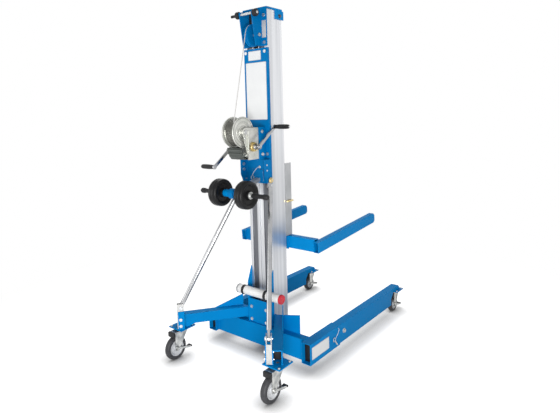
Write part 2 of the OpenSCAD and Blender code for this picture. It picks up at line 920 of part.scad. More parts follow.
module drum() {
    half = drum_w / 2;
    color(zinc) mast_frame() translate([0, axle_y, axle_z]) difference() {
        union() {
            x_rod(wind_r * cos(180 / wind_rings) - cable_r - seat_gap, -half, half);
            both_sides() x_rod(drum_flange_r, half, half + drum_flange_t);
            x_rod(drum_hub_r, -drum_hub_half, drum_hub_half);
            side_plate(-gear_inner - gear_t, gear_t) gear_outline(gear_teeth, gear_turn);
        }
        x_rod(axle_r + run_gap, -winch_half, winch_half);
    }
}

// Centre line of the outer layer of cable, in the drum's own (x, y, z).
wind_steps = wind_loops * wind_rings;
function wind_at(i) = let (a = cable_lean + 360 * (i - wind_steps) / wind_rings)
    [wind_end_x - wind_pitch * (wind_steps - i) / wind_rings, -wind_r * cos(a), wind_r * sin(a)];
wind_turns = [for (i = [0 : wind_steps]) wind_at(i)];
wind_first = wind_turns[0] - wind_start_tail * cable_rise;
wind_last = wind_turns[wind_steps] + wind_tail * cable_rise;
wind_line = concat([wind_first], wind_turns, [wind_last]);
wind_self_gap = min([for (i = [0 : wind_steps - wind_rings])
    for (k = [wind_rings - 2 : wind_rings + 2])
        if (i + k <= wind_steps) norm(wind_turns[i + k] - wind_turns[i]) - cable_d]);

// One ring of a tube of round section, square to the line at point i.
function line_ahead(line, i) = let (d = line[min(i + 1, len(line) - 1)] - line[max(i - 1, 0)]) d / norm(d);
function ring_at(line, i, r, sides, aside) = let (d = line_ahead(line, i), side = cross(d, aside),
    u = side / norm(side), v = cross(d, u))
    [for (k = [0 : sides - 1]) line[i] + r * (u * cos(360 * k / sides) + v * sin(360 * k / sides))];

// One unbroken tube along a line of points, of triangles throughout.
module tube_along(line, r, sides, aside) {
    rings = len(line);
    points = [for (i = [0 : rings - 1]) each ring_at(line, i, r, sides, aside)];
    walls = [for (i = [0 : rings - 2]) for (k = [0 : sides - 1])
        let (a = i * sides + k, b = i * sides + (k + 1) % sides)
        each [[a, b, b + sides], [a, b + sides, a + sides]]];
    caps = [for (k = [1 : sides - 2]) each [[0, k + 1, k],
        [(rings - 1) * sides, (rings - 1) * sides + k, (rings - 1) * sides + k + 1]]];
    polyhedron(points, [for (f = concat(walls, caps)) [f[0], f[2], f[1]]], convexity = 10);
}

module cable_winding() {
    echo(least_gap_between_loops = wind_self_gap);
    color(steel) mast_frame() translate([0, axle_y, axle_z])
        tube_along(wind_line, cable_r, wind_sides, [1, 0, 0]);
}

module crank_shaft() {
    color(steel) mast_frame() translate([0, shaft_y, shaft_z]) {
        x_rod(shaft_r, -shaft_half, shaft_half);
        side_plate(-gear_inner - gear_t - pinion_over, gear_t + 2 * pinion_over)
            gear_outline(pinion_teeth, gear_turn + 180 + 180 / pinion_teeth);
    }
}

module brake_disc() {
    left = winch_half + brake_gap;
    color(yellow_zinc) mast_frame() translate([0, shaft_y, shaft_z]) difference() {
        union() {
            x_rod(brake_r, left, left + brake_t / 2);
            x_rod(brake_rim_r, left, left + brake_t);
        }
        x_rod(shaft_r + run_gap, left - over, left + brake_t + over);
    }
}

module crank_arm_shape() {
    rotate([crank_tilt, 0, 0]) {
        difference() {
            side_plate(crank_in, crank_t) {
                circle(r = crank_hub_r, $fn = round_fn);
                translate([0, -crank_w / 2]) square([crank_len, crank_w]);
                translate([crank_len, 0]) circle(r = crank_end_r, $fn = round_fn);
            }
            x_rod(shaft_r + run_gap, crank_in - over, crank_in + crank_t + over);
        }
        translate([0, crank_len, 0])
            x_rod(grip_pin_r, crank_in + crank_t - weld, grip_end_x() - grip_pin_over);
    }
}

function grip_start_x() = crank_in + crank_t + grip_gap;
function grip_end_x() = grip_start_x() + grip_len;

// The left arm is the right one turned half a turn about the winch's upright axis line.
module left_of_shaft() {
    translate([0, shaft_y, shaft_z]) rotate([0, 0, 180]) mirror([0, 0, 1]) children();
}

module right_of_shaft() {
    translate([0, shaft_y, shaft_z]) children();
}

module crank_arms() {
    color(chrome) mast_frame() {
        right_of_shaft() crank_arm_shape();
        left_of_shaft() crank_arm_shape();
    }
}

module crank_grip_shape() {
    end_r = grip_r * grip_neck_share;
    rotate([crank_tilt, 0, 0]) translate([0, crank_len, 0]) difference() {
        union() {
            x_rod(end_r, grip_start_x(), grip_end_x());
            x_rod(grip_r, grip_start_x() + grip_r / 2, grip_end_x() - grip_r / 2);
        }
        x_rod(grip_pin_r + run_gap, grip_start_x() - over, grip_end_x() - grip_pin_over + grip_pin_over / 2);
    }
}

module right_crank_grip() {
    color(black) mast_frame() right_of_shaft() crank_grip_shape();
}

module left_crank_grip() {
    color(black) mast_frame() left_of_shaft() crank_grip_shape();
}

// A grooved pulley on the X axis for the lift cable.
module grooved_pulley(line_r, rim, half, bore_r) {
    floor_r = line_r - cable_r - groove_clear;
    rim_r = line_r + rim;
    x_turned() polygon([[bore_r, -half], [rim_r, -half], [rim_r, -groove_rim], [floor_r, -groove_floor],
        [floor_r, groove_floor], [rim_r, groove_rim], [rim_r, half], [bore_r, half]]);
}

module top_sheave() {
    color(blue) mast_frame() translate([0, sheave_y, sheave_z])
        grooved_pulley(sheave_cable_r, sheave_rim, sheave_half, sheave_pin_r + run_gap);
}

module load_rollers() {
    color(black) mast_frame() translate([0, roller_y, roller_z]) both_sides() difference() {
        x_rod(roller_r, roller_in, roller_in + roller_w);
        x_rod(roller_pin_r + run_gap, roller_in - over, roller_in + roller_w + over);
    }
}

module transport_arm() {
    low = panel_z + arm_plate_low;
    color(zinc) mast_frame() difference() {
        union() {
            block([-arm_plate_half, bracket_y - arm_plate_t, low],
                [arm_plate_half, bracket_y, low + arm_plate_h]);
            side_plate(-arm_bar_half, 2 * arm_bar_half)
                polygon([[bracket_y, low], [transport_y, transport_z - arm_bar_h / 2],
                    [transport_y, transport_z + arm_bar_h / 2], [bracket_y, low + arm_bar_h]]);
            translate([0, transport_y, transport_z]) x_rod(arm_ring_r, -arm_bar_half, arm_bar_half);
        }
        translate([0, transport_y, transport_z])
            x_rod(transport_tube_r + run_gap, -arm_bar_half - over, arm_bar_half + over);
        hitch_pin_hole();
    }
}

module transport_axle() {
    color(blue) mast_frame() translate([0, transport_y, transport_z]) {
        x_rod(transport_tube_r, -transport_tube_half, transport_tube_half);
        x_rod(transport_rod_r, -transport_span / 2, transport_span / 2);
    }
}

module transport_wheel_shape() {
    r = transport_d / 2;
    far = transport_in + transport_w;
    bore_r = transport_rod_r + run_gap;
    near_dish = transport_in + transport_dish;
    far_dish = far - transport_dish;
    dish_r = r - 2 * transport_shoulder;
    color(black) mast_frame() translate([0, transport_y, transport_z]) x_turned()
        polygon([[bore_r, transport_in], [transport_hub_r, transport_in], [transport_hub_r, near_dish],
            [dish_r, near_dish], [r - transport_shoulder, transport_in],
            [r, transport_in + transport_shoulder], [r, far - transport_shoulder],
            [r - transport_shoulder, far], [dish_r, far_dish], [transport_hub_r, far_dish],
            [transport_hub_r, far], [bore_r, far]]);
}

module right_transport_wheel() {
    transport_wheel_shape();
}

module left_transport_wheel() {
    mirror([1, 0, 0]) transport_wheel_shape();
}

module transport_grips() {
    far = transport_span / 2;
    color(black) mast_frame() translate([0, transport_y, transport_z]) both_sides() difference() {
        x_rod(transport_grip_r, far - transport_grip_len, far);
        x_rod(transport_rod_r + run_gap, far - transport_grip_len - over, far + over);
    }
}

module front_column_outline() {
    difference() {
        union() {
            translate([-front_half, front_y]) square([2 * front_half, front_col_d]);
            translate([-neck_half, rail_front - weld])
                square([2 * neck_half, front_y - rail_front + 2 * weld]);
            translate([-rail_half, rail_front - rail_t]) square([2 * rail_half, rail_t]);
        }
        translate([col_wall - front_half, front_y + front_web_t])
            square([2 * (front_half - col_wall), front_col_d - front_web_t - lip_t]);
        translate([-front_slot_half, front_end_y - lip_t - over])
            square([2 * front_slot_half, lip_t + 2 * over]);
    }
}

module front_column() {
    slot_r = pulley_cable_r + pulley_rim + pulley_slot_gap;
    color(alloy) mast_frame() {
        difference() {
            translate([0, 0, foot_z + seat_gap]) linear_extrude(col_top_z - foot_z - seat_gap)
                front_column_outline();
            block([-pulley_slot_half, foot_pulley_y - slot_r, foot_z - over],
                [pulley_slot_half, foot_pulley_y + slot_r, foot_pulley_z + slot_r]);
        }
        translate([0, foot_pulley_y, foot_pulley_z]) x_rod(pulley_pin_r, -neck_half, neck_half);
        translate([0, head_pulley_y, head_pulley_z])
            x_rod(pulley_pin_r, col_wall / 2 - front_half, front_half - col_wall / 2);
    }
}

module column_head() {
    ear_in = front_half + run_gap;
    ear_back = front_y + ear_back_in;
    ear_front = front_end_y + ear_front_out;
    ear_low = col_top_z - ear_h;
    ear_top = col_top_z + seat_gap + weld;
    back = top_cap_front + pass_gap;
    half = max(top_cap_half, ear_in + ear_t);
    tip = front_end_y + head_tip_out;
    tip_half = col_half / 2;
    color(blue) mast_frame() {
        translate([0, 0, col_top_z + seat_gap]) linear_extrude(cap_t - seat_gap)
            polygon([[-half, back], [half, back], [half, front_end_y], [tip_half, tip], [-tip_half, tip],
                [-half, front_end_y]]);
        both_sides() side_plate(ear_in, ear_t)
            polygon([[ear_back, ear_top], [ear_back, ear_low], [ear_front, ear_low], [ear_front, ear_top]]);
    }
}

module column_foot_sheave() {
    color(steel) mast_frame() translate([0, foot_pulley_y, foot_pulley_z])
        grooved_pulley(pulley_cable_r, pulley_rim, pulley_half, pulley_pin_r + run_gap);
}

module column_head_sheave() {
    color(steel) mast_frame() translate([0, head_pulley_y, head_pulley_z])
        grooved_pulley(pulley_cable_r, pulley_rim, pulley_half, pulley_pin_r + run_gap);
}

module carriage() {
    rail_low = carriage_bottom + carriage_rail_inset;
    rail_top = carriage_top - carriage_rail_inset;
    web_top = carriage_top - anchor_h;
    color(grey) mast_frame() difference() {
        union() {
            block([-carriage_half, carriage_y, carriage_bottom],
                [carriage_half, carriage_y + carriage_t, web_top]);
            both_sides() block([carriage_half - carriage_t, carriage_y, carriage_bottom],
                [carriage_half, carriage_y + carriage_d, carriage_top]);
            block([-carriage_neck_half, carriage_rail_front - weld, rail_low],
                [carriage_neck_half, carriage_y + weld, web_top]);
            block([-carriage_rail_half, carriage_rail_front - rail_t, rail_low],
                [carriage_rail_half, carriage_rail_front, web_top]);
            block([-anchor_half, carriage_y, web_top - anchor_h],
                [anchor_half, carriage_y + anchor_d, carriage_top]);
        }
        translate([0, fork_pin_y, fork_pin_z]) x_rod(fork_pin_r + run_gap, 0, carriage_half + over);
    }
}

module fork_tube() {
    inner = fork_w - 2 * fork_wall;
    translate([fork_spread / 2 - fork_w, bar_y - fork_back, fork_z]) rotate([fork_tilt, 0, 0]) difference() {
        side_plate(0, fork_w) polygon([[0, 0], [fork_len - tip_round, 0], [fork_len, tip_round],
            [fork_len, fork_h - tip_round], [fork_len - tip_round, fork_h], [0, fork_h]]);
        block([fork_wall, -over, fork_wall],
            [fork_wall + inner, fork_len - 2 * tip_round, fork_h - fork_wall]);
    }
}

module fork_frame() {
    bar_half = fork_spread / 2 - fork_w;
    tongue_half = bar_half + fork_wall / 2;
    tongue_top = fork_z + fork_h / 2;
    bar_top = fork_z + bar_h;
    color(blue) mast_frame() difference() {
        union() {
            difference() {
                union() {
                    block([-bar_half, bar_y, fork_z], [bar_half, bar_y + bar_d, bar_top]);
                    block([-tongue_half, bar_y, fork_z + fork_wall],
                        [tongue_half, bar_y + bar_d, tongue_top]);
                }
                block([-tongue_half - over, bar_y + fork_wall, fork_z + fork_wall],
                    [tongue_half + over, bar_y + bar_d - fork_wall, bar_top - fork_wall]);
            }
            both_sides() fork_tube();
            difference() {
                block([-post_half, post_y, bar_top - weld], [post_half, post_y + post_d, bar_top + post_h]);
                block([post_wall - post_half, post_y + post_wall, bar_top],
                    [post_half - post_wall, post_y + post_d - post_wall, bar_top + post_h + over]);
            }
            block([-hook_half, bar_y - hook_t, fork_z - hook_drop], [hook_half, bar_y + weld, bar_top]);
            block([-post_half, bar_y - hook_t, bar_top - fork_wall], [post_half, post_y + post_d, bar_top]);
        }
        translate([0, fork_pin_y, fork_pin_z]) x_rod(fork_pin_r + run_gap, 0, carriage_half + over);
    }
}

module fork_pin() {
    color(yellow_zinc) mast_frame() translate([0, fork_pin_y, fork_pin_z]) {
        x_rod(fork_pin_r, post_half - fork_pin_in, carriage_half + handle_out);
        translate([carriage_half + handle_out, handle_len / 2, 0]) rotate([90, 0, 0])
            cylinder(r = handle_r, h = handle_len, $fn = round_fn);
    }
}

module lift_cable() {
    lead = [0, axle_y, axle_z] + wind_last + seat_gap * cable_rise;
    wrap = [for (i = [0 : lift_wrap_rings]) let (a = (180 - cable_lean) * (1 - i / lift_wrap_rings))
        [0, sheave_y + sheave_cable_r * cos(a), sheave_z + sheave_cable_r * sin(a)]];
    color(steel) mast_frame()
        tube_along(concat([lead, (lead + wrap[0]) / 2], wrap), cable_r, lanyard_sides, [1, 0, 0]);
}

// Half a turn of cable over a pulley, or under it when turned by 180 degrees.
module half_wrap(centre, line_r, turn) {
    translate(centre) rotate([turn, 0, 0]) rotate([90, 0, 90]) rotate_extrude(angle = 180, $fn = round_fn)
        translate([line_r, 0]) circle(r = cable_r, $fn = round_fn);
}

module cable_down_run() {
    color(steel) mast_frame()
        rod_between([0, down_y, foot_pulley_z], [0, down_y, sheave_z - seat_gap], cable_r);
}

module cable_up_run() {
    color(steel) mast_frame() {
        half_wrap([0, foot_pulley_y, foot_pulley_z], pulley_cable_r, 180);
        rod_between([0, up_y, foot_pulley_z], [0, up_y, head_pulley_z], cable_r);
        half_wrap([0, head_pulley_y, head_pulley_z], pulley_cable_r, 0);
    }
}

module cable_fall() {
    color(steel) mast_frame() rod_between([0, fall_y, carriage_top], [0, fall_y, head_pulley_z], cable_r);
}

module right_leg_shape() {
    rear_end = leg_inset - sleeve_back;
    swivel_y = leg_front - front_swivel_inset;
    cut_y = swivel_y - leg_cut_back;
    plate_top = front_plate_z + plate_t;
    top_z = leg_z + leg_h;
    translate([track / 2, 0, 0]) difference() {
        union() {
            difference() {
                side_plate(-leg_w / 2, leg_w)
                    polygon([[rear_end, leg_z], [cut_y, leg_z], [cut_y, leg_cut_low_z],
                        [cut_y + leg_cut_step, plate_top - weld], [leg_front, plate_top - weld],
                        [leg_front, top_z - leg_chamfer], [leg_front - leg_chamfer, top_z],
                        [rear_end, top_z]]);
                block([leg_wall - leg_w / 2, rear_end - over, leg_z + leg_wall],
                    [leg_w / 2 - leg_wall, leg_front - leg_chamfer, top_z - leg_wall]);
            }
            translate([-front_plate / 2, swivel_y - front_plate / 2, front_plate_z])
                cube([front_plate, front_plate, plate_t]);
            translate([leg_w / 2 - weld, sleeve_len - sleeve_back + stop_bolt_ahead, stop_bolt_z])
                facing_right() cylinder(r = bolt_head_r, h = bolt_head_h + weld, $fn = 6);
        }
        translate([0, swivel_y, front_plate_z - over])
            cylinder(r = king_r + run_gap, h = plate_t + 2 * over, $fn = round_fn);
    }
}

module right_leg() {
    color(blue) mast_frame() right_leg_shape();
}

module left_leg() {
    color(blue) mast_frame() mirror([1, 0, 0]) right_leg_shape();
}

// Caster fork: swivel axis on the local Z axis, wheel trailing towards -Y.
module caster_fork(wheel_d, trail, plate_z) {
    r = wheel_d / 2;
    crown_top = plate_z - crown_gap;
    crown_low = crown_top - crown_t;
    leg_in = caster_wheel_w / 2 + fork_leg_gap;
    leg_out = leg_in + fork_leg_t;
    shoe_back = -trail - shoe_len / 2;
    translate([0, 0, crown_low]) cylinder(r = crown_r, h = crown_t, $fn = round_fn);
    translate([0, 0, crown_top - weld]) cylinder(r = king_r, h = plate_t + crown_gap + weld, $fn = round_fn);
    block([-leg_out, shoe_back, crown_low - crown_arm_t], [leg_out, fork_front, crown_low + weld]);
    both_sides() side_plate(leg_in, fork_leg_t) {
        polygon([[fork_front, crown_low], [fork_front, crown_low - crown_arm_t], [fork_eye_r - trail, r],
            [-fork_eye_r - trail, r], [-trail - fork_eye_r, crown_low]]);
        translate([-trail, r]) circle(r = fork_eye_r, $fn = round_fn);
    }
    translate([0, -trail, r]) x_rod(fork_axle_r, -leg_out - pedal_t - pass_gap, leg_out + pedal_t + pass_gap);
    block([-shoe_half, shoe_back, wheel_d + shoe_clear], [shoe_half, shoe_back + shoe_len, crown_low]);
}

// Caster wheel: a solid tyre on a dished hub, turned about its axle.
module caster_wheel(wheel_d, trail) {
    r = wheel_d / 2;
    half = caster_wheel_w / 2;
    dish = half * dish_share;
    hub_r = r * hub_share;
    tyre_r = r * tyre_share;
    side_r = r - half * round_share;
    tread = half * (1 - round_share);
    bore_r = fork_axle_r + run_gap;
    translate([0, -trail, r]) x_turned()
        polygon([[bore_r, -half], [hub_r, -half], [hub_r + bead_r, -dish], [tyre_r - bead_r, -dish],
            [tyre_r, -half], [side_r, -half], [r, -tread], [r, tread], [side_r, half], [tyre_r, half],
            [tyre_r - bead_r, dish], [hub_r + bead_r, dish], [hub_r, half], [bore_r, half]]);
}

// Brake pedal: a lever on the end of the axle bolt, reaching ahead of the wheel.
module caster_pedal(wheel_d, trail) {
    r = wheel_d / 2;
    reach = r * pedal_reach_share;
    tab_z = -pedal_bar_h - r * pedal_drop_share;
    in_x = caster_wheel_w / 2 + fork_leg_gap + fork_leg_t + seat_gap;
    translate([0, -trail, r]) difference() {
        union() {
            side_plate(in_x, pedal_t) {
                circle(r = pedal_eye_r, $fn = round_fn);
                polygon([[0, -pedal_bar_h / 2], [reach, tab_z], [reach + pedal_tab, tab_z],
                    [reach + pedal_tab, tab_z + pedal_t], [reach, tab_z + pedal_bar_h],
                    [0, pedal_bar_h / 2]]);
            }
            block([in_x + pedal_t - pedal_tab_w, reach, tab_z],
                [in_x + pedal_t, reach + pedal_tab, tab_z + pedal_t]);
        }
        x_rod(fork_axle_r + run_gap, in_x - over, in_x + pedal_t + over);
    }
}

module at_rear_caster(side) {
    translate([side * plate_x, mast_y - rear_swivel_back, 0]) children();
}

module at_front_caster(side) {
    translate([side * track / 2, mast_y + leg_front - front_swivel_inset, 0]) children();
}

module rear_left_caster() {
    color(zinc) at_rear_caster(-1) caster_fork(rear_wheel_d, rear_trail, rear_plate_z);
}

module rear_right_caster() {
    color(zinc) at_rear_caster(1) caster_fork(rear_wheel_d, rear_trail, rear_plate_z);
}

module front_left_caster() {
    color(zinc) at_front_caster(-1) caster_fork(front_wheel_d, front_trail, front_plate_z);
}

module front_right_caster() {
    color(zinc) at_front_caster(1) caster_fork(front_wheel_d, front_trail, front_plate_z);
}

module rear_left_wheel() {
    color(grey) at_rear_caster(-1) caster_wheel(rear_wheel_d, rear_trail);
}

module rear_right_wheel() {
    color(grey) at_rear_caster(1) caster_wheel(rear_wheel_d, rear_trail);
}

module front_left_wheel() {
    color(grey) at_front_caster(-1) caster_wheel(front_wheel_d, front_trail);
}

module front_right_wheel() {
    color(grey) at_front_caster(1) caster_wheel(front_wheel_d, front_trail);
}

module rear_left_pedal() {
    color(steel) at_rear_caster(-1) caster_pedal(rear_wheel_d, rear_trail);
}

module rear_right_pedal() {
    color(steel) at_rear_caster(1) caster_pedal(rear_wheel_d, rear_trail);
}

module front_left_pedal() {
    color(steel) at_front_caster(-1) caster_pedal(front_wheel_d, front_trail);
}

module front_right_pedal() {
    color(steel) at_front_caster(1) caster_pedal(front_wheel_d, front_trail);
}

// A lock pin with a pull ring: the pin points along -Z and its ring stands above.
module lock_pin(length) {
    translate([0, 0, -length]) cylinder(r = lock_pin_r, h = length, $fn = round_fn);
    translate([0, 0, ring_r]) rotate([0, 90, 0]) rotate_extrude($fn = round_fn)
        translate([ring_r, 0]) circle(r = ring_wire_r, $fn = round_fn);
}

module lock_pins() {
    color(chrome) mast_frame() {
        translate([hitch_x, bracket_y - arm_plate_t - ring_wire_r, panel_z + hitch_rise]) facing_rear()
            lock_pin(arm_plate_t + bracket_t + panel_t + recess_d);
        translate([track / 2 + sleeve_w / 2 + leg_pin_out, leg_pin_y, leg_pin_z]) rotate([leg_pin_tilt, 0, 0])
            lock_pin(lock_pin_len);
    }
}

module leg_lanyard() {
    color(steel) mast_frame()
        tube_along(lanyard_route(leg_lanyard_guides), lanyard_r, lanyard_sides, [0, 0, 1]);
}

module hitch_lanyard() {
    color(steel) mast_frame()
        tube_along(lanyard_route(hitch_lanyard_guides), lanyard_r, lanyard_sides, [1, 0, 0]);
}

base_frame();
left_arm();
right_arm();
brace_clips();
left_brace();
right_brace();
frame_bolts();
mast_foot();
rear_column();
back_panel();
lower_bracket();
top_bracket();
axle_pins();
document_tube();
tube_caps();
tube_clamps();
winch_frame();
winch_guard();
drum();
cable_winding();
crank_shaft();
brake_disc();
crank_arms();
left_crank_grip();
right_crank_grip();
top_sheave();
load_rollers();
transport_arm();
transport_axle();
left_transport_wheel();
right_transport_wheel();
transport_grips();
front_column();
column_head();
column_foot_sheave();
column_head_sheave();
carriage();
fork_frame();
fork_pin();
lift_cable();
cable_down_run();
cable_up_run();
cable_fall();
left_leg();
right_leg();
rear_left_caster();
rear_right_caster();
front_left_caster();
front_right_caster();
rear_left_wheel();
rear_right_wheel();
front_left_wheel();
front_right_wheel();
rear_left_pedal();
rear_right_pedal();
front_left_pedal();
front_right_pedal();
lock_pins();
leg_lanyard();
hitch_lanyard();
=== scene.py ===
# Hand-cranked telescopic material hoist on a wheeled base, dressed on its CAD frame.
# Lengths are metres. Places are read from the CAD boxes or measured from the mast's rear face.
import math

import bmesh
import bpy
from mathutils import Matrix, Vector


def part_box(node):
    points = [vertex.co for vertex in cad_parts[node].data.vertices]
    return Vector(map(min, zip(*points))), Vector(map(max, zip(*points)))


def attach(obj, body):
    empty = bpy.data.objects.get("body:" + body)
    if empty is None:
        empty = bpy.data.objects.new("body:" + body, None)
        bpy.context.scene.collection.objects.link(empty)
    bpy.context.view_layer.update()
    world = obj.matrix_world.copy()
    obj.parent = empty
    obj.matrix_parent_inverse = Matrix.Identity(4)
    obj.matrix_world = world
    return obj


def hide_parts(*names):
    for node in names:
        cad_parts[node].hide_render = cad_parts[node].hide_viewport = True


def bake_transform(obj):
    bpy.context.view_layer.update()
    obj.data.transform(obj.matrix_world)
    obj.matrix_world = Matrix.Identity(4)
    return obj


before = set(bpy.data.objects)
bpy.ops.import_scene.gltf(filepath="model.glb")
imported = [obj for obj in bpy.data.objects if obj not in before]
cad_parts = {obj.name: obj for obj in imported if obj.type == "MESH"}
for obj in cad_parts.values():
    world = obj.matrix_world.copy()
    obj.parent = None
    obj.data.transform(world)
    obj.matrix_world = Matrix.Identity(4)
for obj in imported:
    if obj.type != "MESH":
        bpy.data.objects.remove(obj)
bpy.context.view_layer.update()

# Camera: at standing eye height behind the winch and to its right, looking a little down at the
# mast, so that both rear casters and the front casters are in the picture.
rear_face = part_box("rear_column")[0].y
camera = bpy.data.objects.new("camera", bpy.data.cameras.new("camera"))
bpy.context.scene.collection.objects.link(camera)
bpy.context.scene.camera = camera
camera.data.sensor_width = 36.0
camera.data.lens = 30.56
camera.data.shift_x = 0.0196
camera.data.shift_y = -0.0741
camera_right, camera_back, camera_height = 1.742, 2.031, 1.378
camera_yaw, camera_dip, camera_roll = (math.radians(angle) for angle in (39.42, 5.94, -1.54))
camera.matrix_world = (
    Matrix.Translation((camera_right, rear_face - camera_back, camera_height))
    @ Matrix.Rotation(camera_yaw, 4, "Z")
    @ Matrix.Rotation(math.pi / 2 - camera_dip, 4, "X")
    @ Matrix.Rotation(camera_roll, 4, "Z")
)

# Lanyards: two short lengths of plastic-coated wire rope, one from the right leg sleeve to its
# lock pin, one from the lower bracket to the hitch pin, crimped to the plate and to the ring.
lanyard_d = 0.0024
lanyard_points = 16
lanyard_guides = {
    "leg_lanyard": ((0.382, 0.205, 0.164), (0.394, 0.206, 0.164),
                    (0.389, 0.180, 0.134), (0.388, 0.164, 0.122)),
    "hitch_lanyard": ((0.010, -0.008, 1.092), (0.012, -0.032, 1.092),
                      (-0.022, -0.028, 1.064), (-0.030, -0.025, 1.045)),
}


def behind_mast(x, y, z):
    """A place measured from the mast's rear face."""
    return Vector((x, y + rear_face, z))


def guided(guides, t):
    """A point on the smooth curve that leaves the first guide towards the second and comes to the
    last from the third."""
    first, second, third, last = (behind_mast(*guide) for guide in guides)
    s = 1 - t
    return s ** 3 * first + 3 * t * s ** 2 * second + 3 * t ** 2 * s * third + t ** 3 * last


def set_range(node, *limits):
    """Sets what a map range takes in and gives out: from low to high, to low to high."""
    for socket, value in zip(("From Min", "From Max", "To Min", "To Max"), limits):
        node.inputs[socket].default_value = value


def surface(name, tones, metal, rough, patch, grain, relief, stretch=(1, 1, 1), edge=0, chip_and_highlight_tone=None,
            shine=0.5, rim=None):
    """A finish whose tone drifts between two colours, with a fine grain in its gloss and relief.
    Its edges are softened by a bevel of radius edge and, in noisy patches, turned to the lighter
    edge tone if there is one: partly wear, partly a painted highlight.
    A rim tone darkens a metal where it turns away."""
    finish = bpy.data.materials.new(name)
    finish.use_nodes = True
    tree = finish.node_tree
    make, join = tree.nodes.new, tree.links.new
    shader = tree.nodes["Principled BSDF"]
    shader.inputs["Metallic"].default_value = metal
    shader.inputs["Specular IOR Level"].default_value = shine
    if rim:
        shader.inputs["Specular Tint"].default_value = (*rim, 1)
    place = make("ShaderNodeMapping")
    place.inputs["Scale"].default_value = stretch
    join(make("ShaderNodeTexCoord").outputs["Object"], place.inputs["Vector"])

    def noise(scale, low, high, to_low, to_high, detail=3):
        cloud, span = make("ShaderNodeTexNoise"), make("ShaderNodeMapRange")
        cloud.inputs["Scale"].default_value = scale
        cloud.inputs["Detail"].default_value = detail
        join(place.outputs["Vector"], cloud.inputs["Vector"])
        join(cloud.outputs["Fac"], span.inputs["Value"])
        set_range(span, low, high, to_low, to_high)
        return cloud.outputs["Fac"], span.outputs["Result"]

    tone = make("ShaderNodeMix")
    tone.data_type = "RGBA"
    join(noise(patch, 0.35, 0.65, 0, 1)[1], tone.inputs["Factor"])
    tone.inputs["A"].default_value = (*tones[0], 1)
    tone.inputs["B"].default_value = (*tones[1], 1)
    colour = tone.outputs["Result"]
    height, gloss = noise(grain, 0.3, 0.7, *rough, detail=2)
    join(gloss, shader.inputs["Roughness"])
    bump = make("ShaderNodeBump")
    bump.inputs["Distance"].default_value = relief
    bump.inputs["Strength"].default_value = 0.6
    join(height, bump.inputs["Height"])
    join(bump.outputs["Normal"], shader.inputs["Normal"])
    if edge:
        soft = make("ShaderNodeBevel")
        soft.samples = 4
        soft.inputs["Radius"].default_value = edge
        join(soft.outputs["Normal"], bump.inputs["Normal"])
        # Edges turn, in noisy patches, to the lighter tone: partly chipped paint, partly a painted
        # highlight.
        if chip_and_highlight_tone:
            bend, edge_chip_highlight_mask, both = (make("ShaderNode" + kind)
                               for kind in ("VectorMath", "MapRange", "Math"))
            bend.operation = "DOT_PRODUCT"
            join(soft.outputs["Normal"], bend.inputs[0])
            join(make("ShaderNodeNewGeometry").outputs["Normal"], bend.inputs[1])
            join(bend.outputs["Value"], edge_chip_highlight_mask.inputs["Value"])
            set_range(edge_chip_highlight_mask, 0.82, 0.97, 1, 0)
            both.operation = "MULTIPLY"
            join(edge_chip_highlight_mask.outputs["Result"], both.inputs[0])
            join(noise(patch * 9, 0.5, 0.62, 0, 0.7)[1], both.inputs[1])
            chip_highlight_mix = make("ShaderNodeMix")
            chip_highlight_mix.data_type = "RGBA"
            join(both.outputs["Value"], chip_highlight_mix.inputs["Factor"])
            join(colour, chip_highlight_mix.inputs["A"])
            chip_highlight_mix.inputs["B"].default_value = (*chip_and_highlight_tone, 1)
            colour = chip_highlight_mix.outputs["Result"]
    join(colour, shader.inputs["Base Color"])
    return finish


def wire(name, points, diameter, finish):
    """A round wire on one smooth open spline through the points."""
    line = bpy.data.curves.new(name, "CURVE")
    line.dimensions = "3D"
    line.bevel_depth = diameter / 2
    line.bevel_resolution = 3
    line.use_fill_caps = True
    spline = line.splines.new("BEZIER")
    spline.resolution_u = 6
    spline.bezier_points.add(len(points) - 1)
    for knot, point in zip(spline.bezier_points, points):
        knot.co = point
        knot.handle_left_type = knot.handle_right_type = "AUTO"
    line.materials.append(finish)
    piece = bpy.data.objects.new(name, line)
    bpy.context.scene.collection.objects.link(piece)
    return piece


coated_wire = surface("coated_wire", ((0.84, 0.85, 0.86), (0.72, 0.74, 0.76)),
                      0.1, (0.25, 0.4), 60, 900, 0.0001)
for cord_node, guides in lanyard_guides.items():
    route = [guided(guides, i / (lanyard_points - 1)) for i in range(lanyard_points)]
    lanyard = wire(cord_node + "_wire", route, lanyard_d, coated_wire)
    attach(lanyard, "base")
    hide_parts(cord_node)

# Studio: a pale sheet of floor under soft light, white wherever the camera or a shiny part sees
# the background, its glow darkened near the object as a painted contact shadow. The lamps stand
# low near the camera, so upright faces are the brightest.
backdrop_white = 1.0
ambient = 0.26
floor_half, floor_grey = 14, 0.42
shade_reach, shade_depth = 0.13, 2.4
fade_from, fade_to = 1.1, 2.4


def seen_directly(tree):
    """1 for camera, glossy and transmission rays, else 0."""
    path, first, second = (tree.nodes.new(kind) for kind in
                           ("ShaderNodeLightPath", "ShaderNodeMath", "ShaderNodeMath"))
    first.operation = second.operation = "MAXIMUM"
    tree.links.new(path.outputs["Is Camera Ray"], first.inputs[0])
    tree.links.new(path.outputs["Is Glossy Ray"], first.inputs[1])
    tree.links.new(first.outputs[0], second.inputs[0])
    tree.links.new(path.outputs["Is Transmission Ray"], second.inputs[1])
    return second.outputs[0]


world = bpy.data.worlds.new("studio")
bpy.context.scene.world = world
world.use_nodes = True
sky = world.node_tree.nodes["Background"]
sky.inputs["Color"].default_value = (1, 1, 1, 1)
sky_level = world.node_tree.nodes.new("ShaderNodeMapRange")
world.node_tree.links.new(seen_directly(world.node_tree), sky_level.inputs["Value"])
set_range(sky_level, 0, 1, ambient, backdrop_white)
world.node_tree.links.new(sky_level.outputs["Result"], sky.inputs["Strength"])

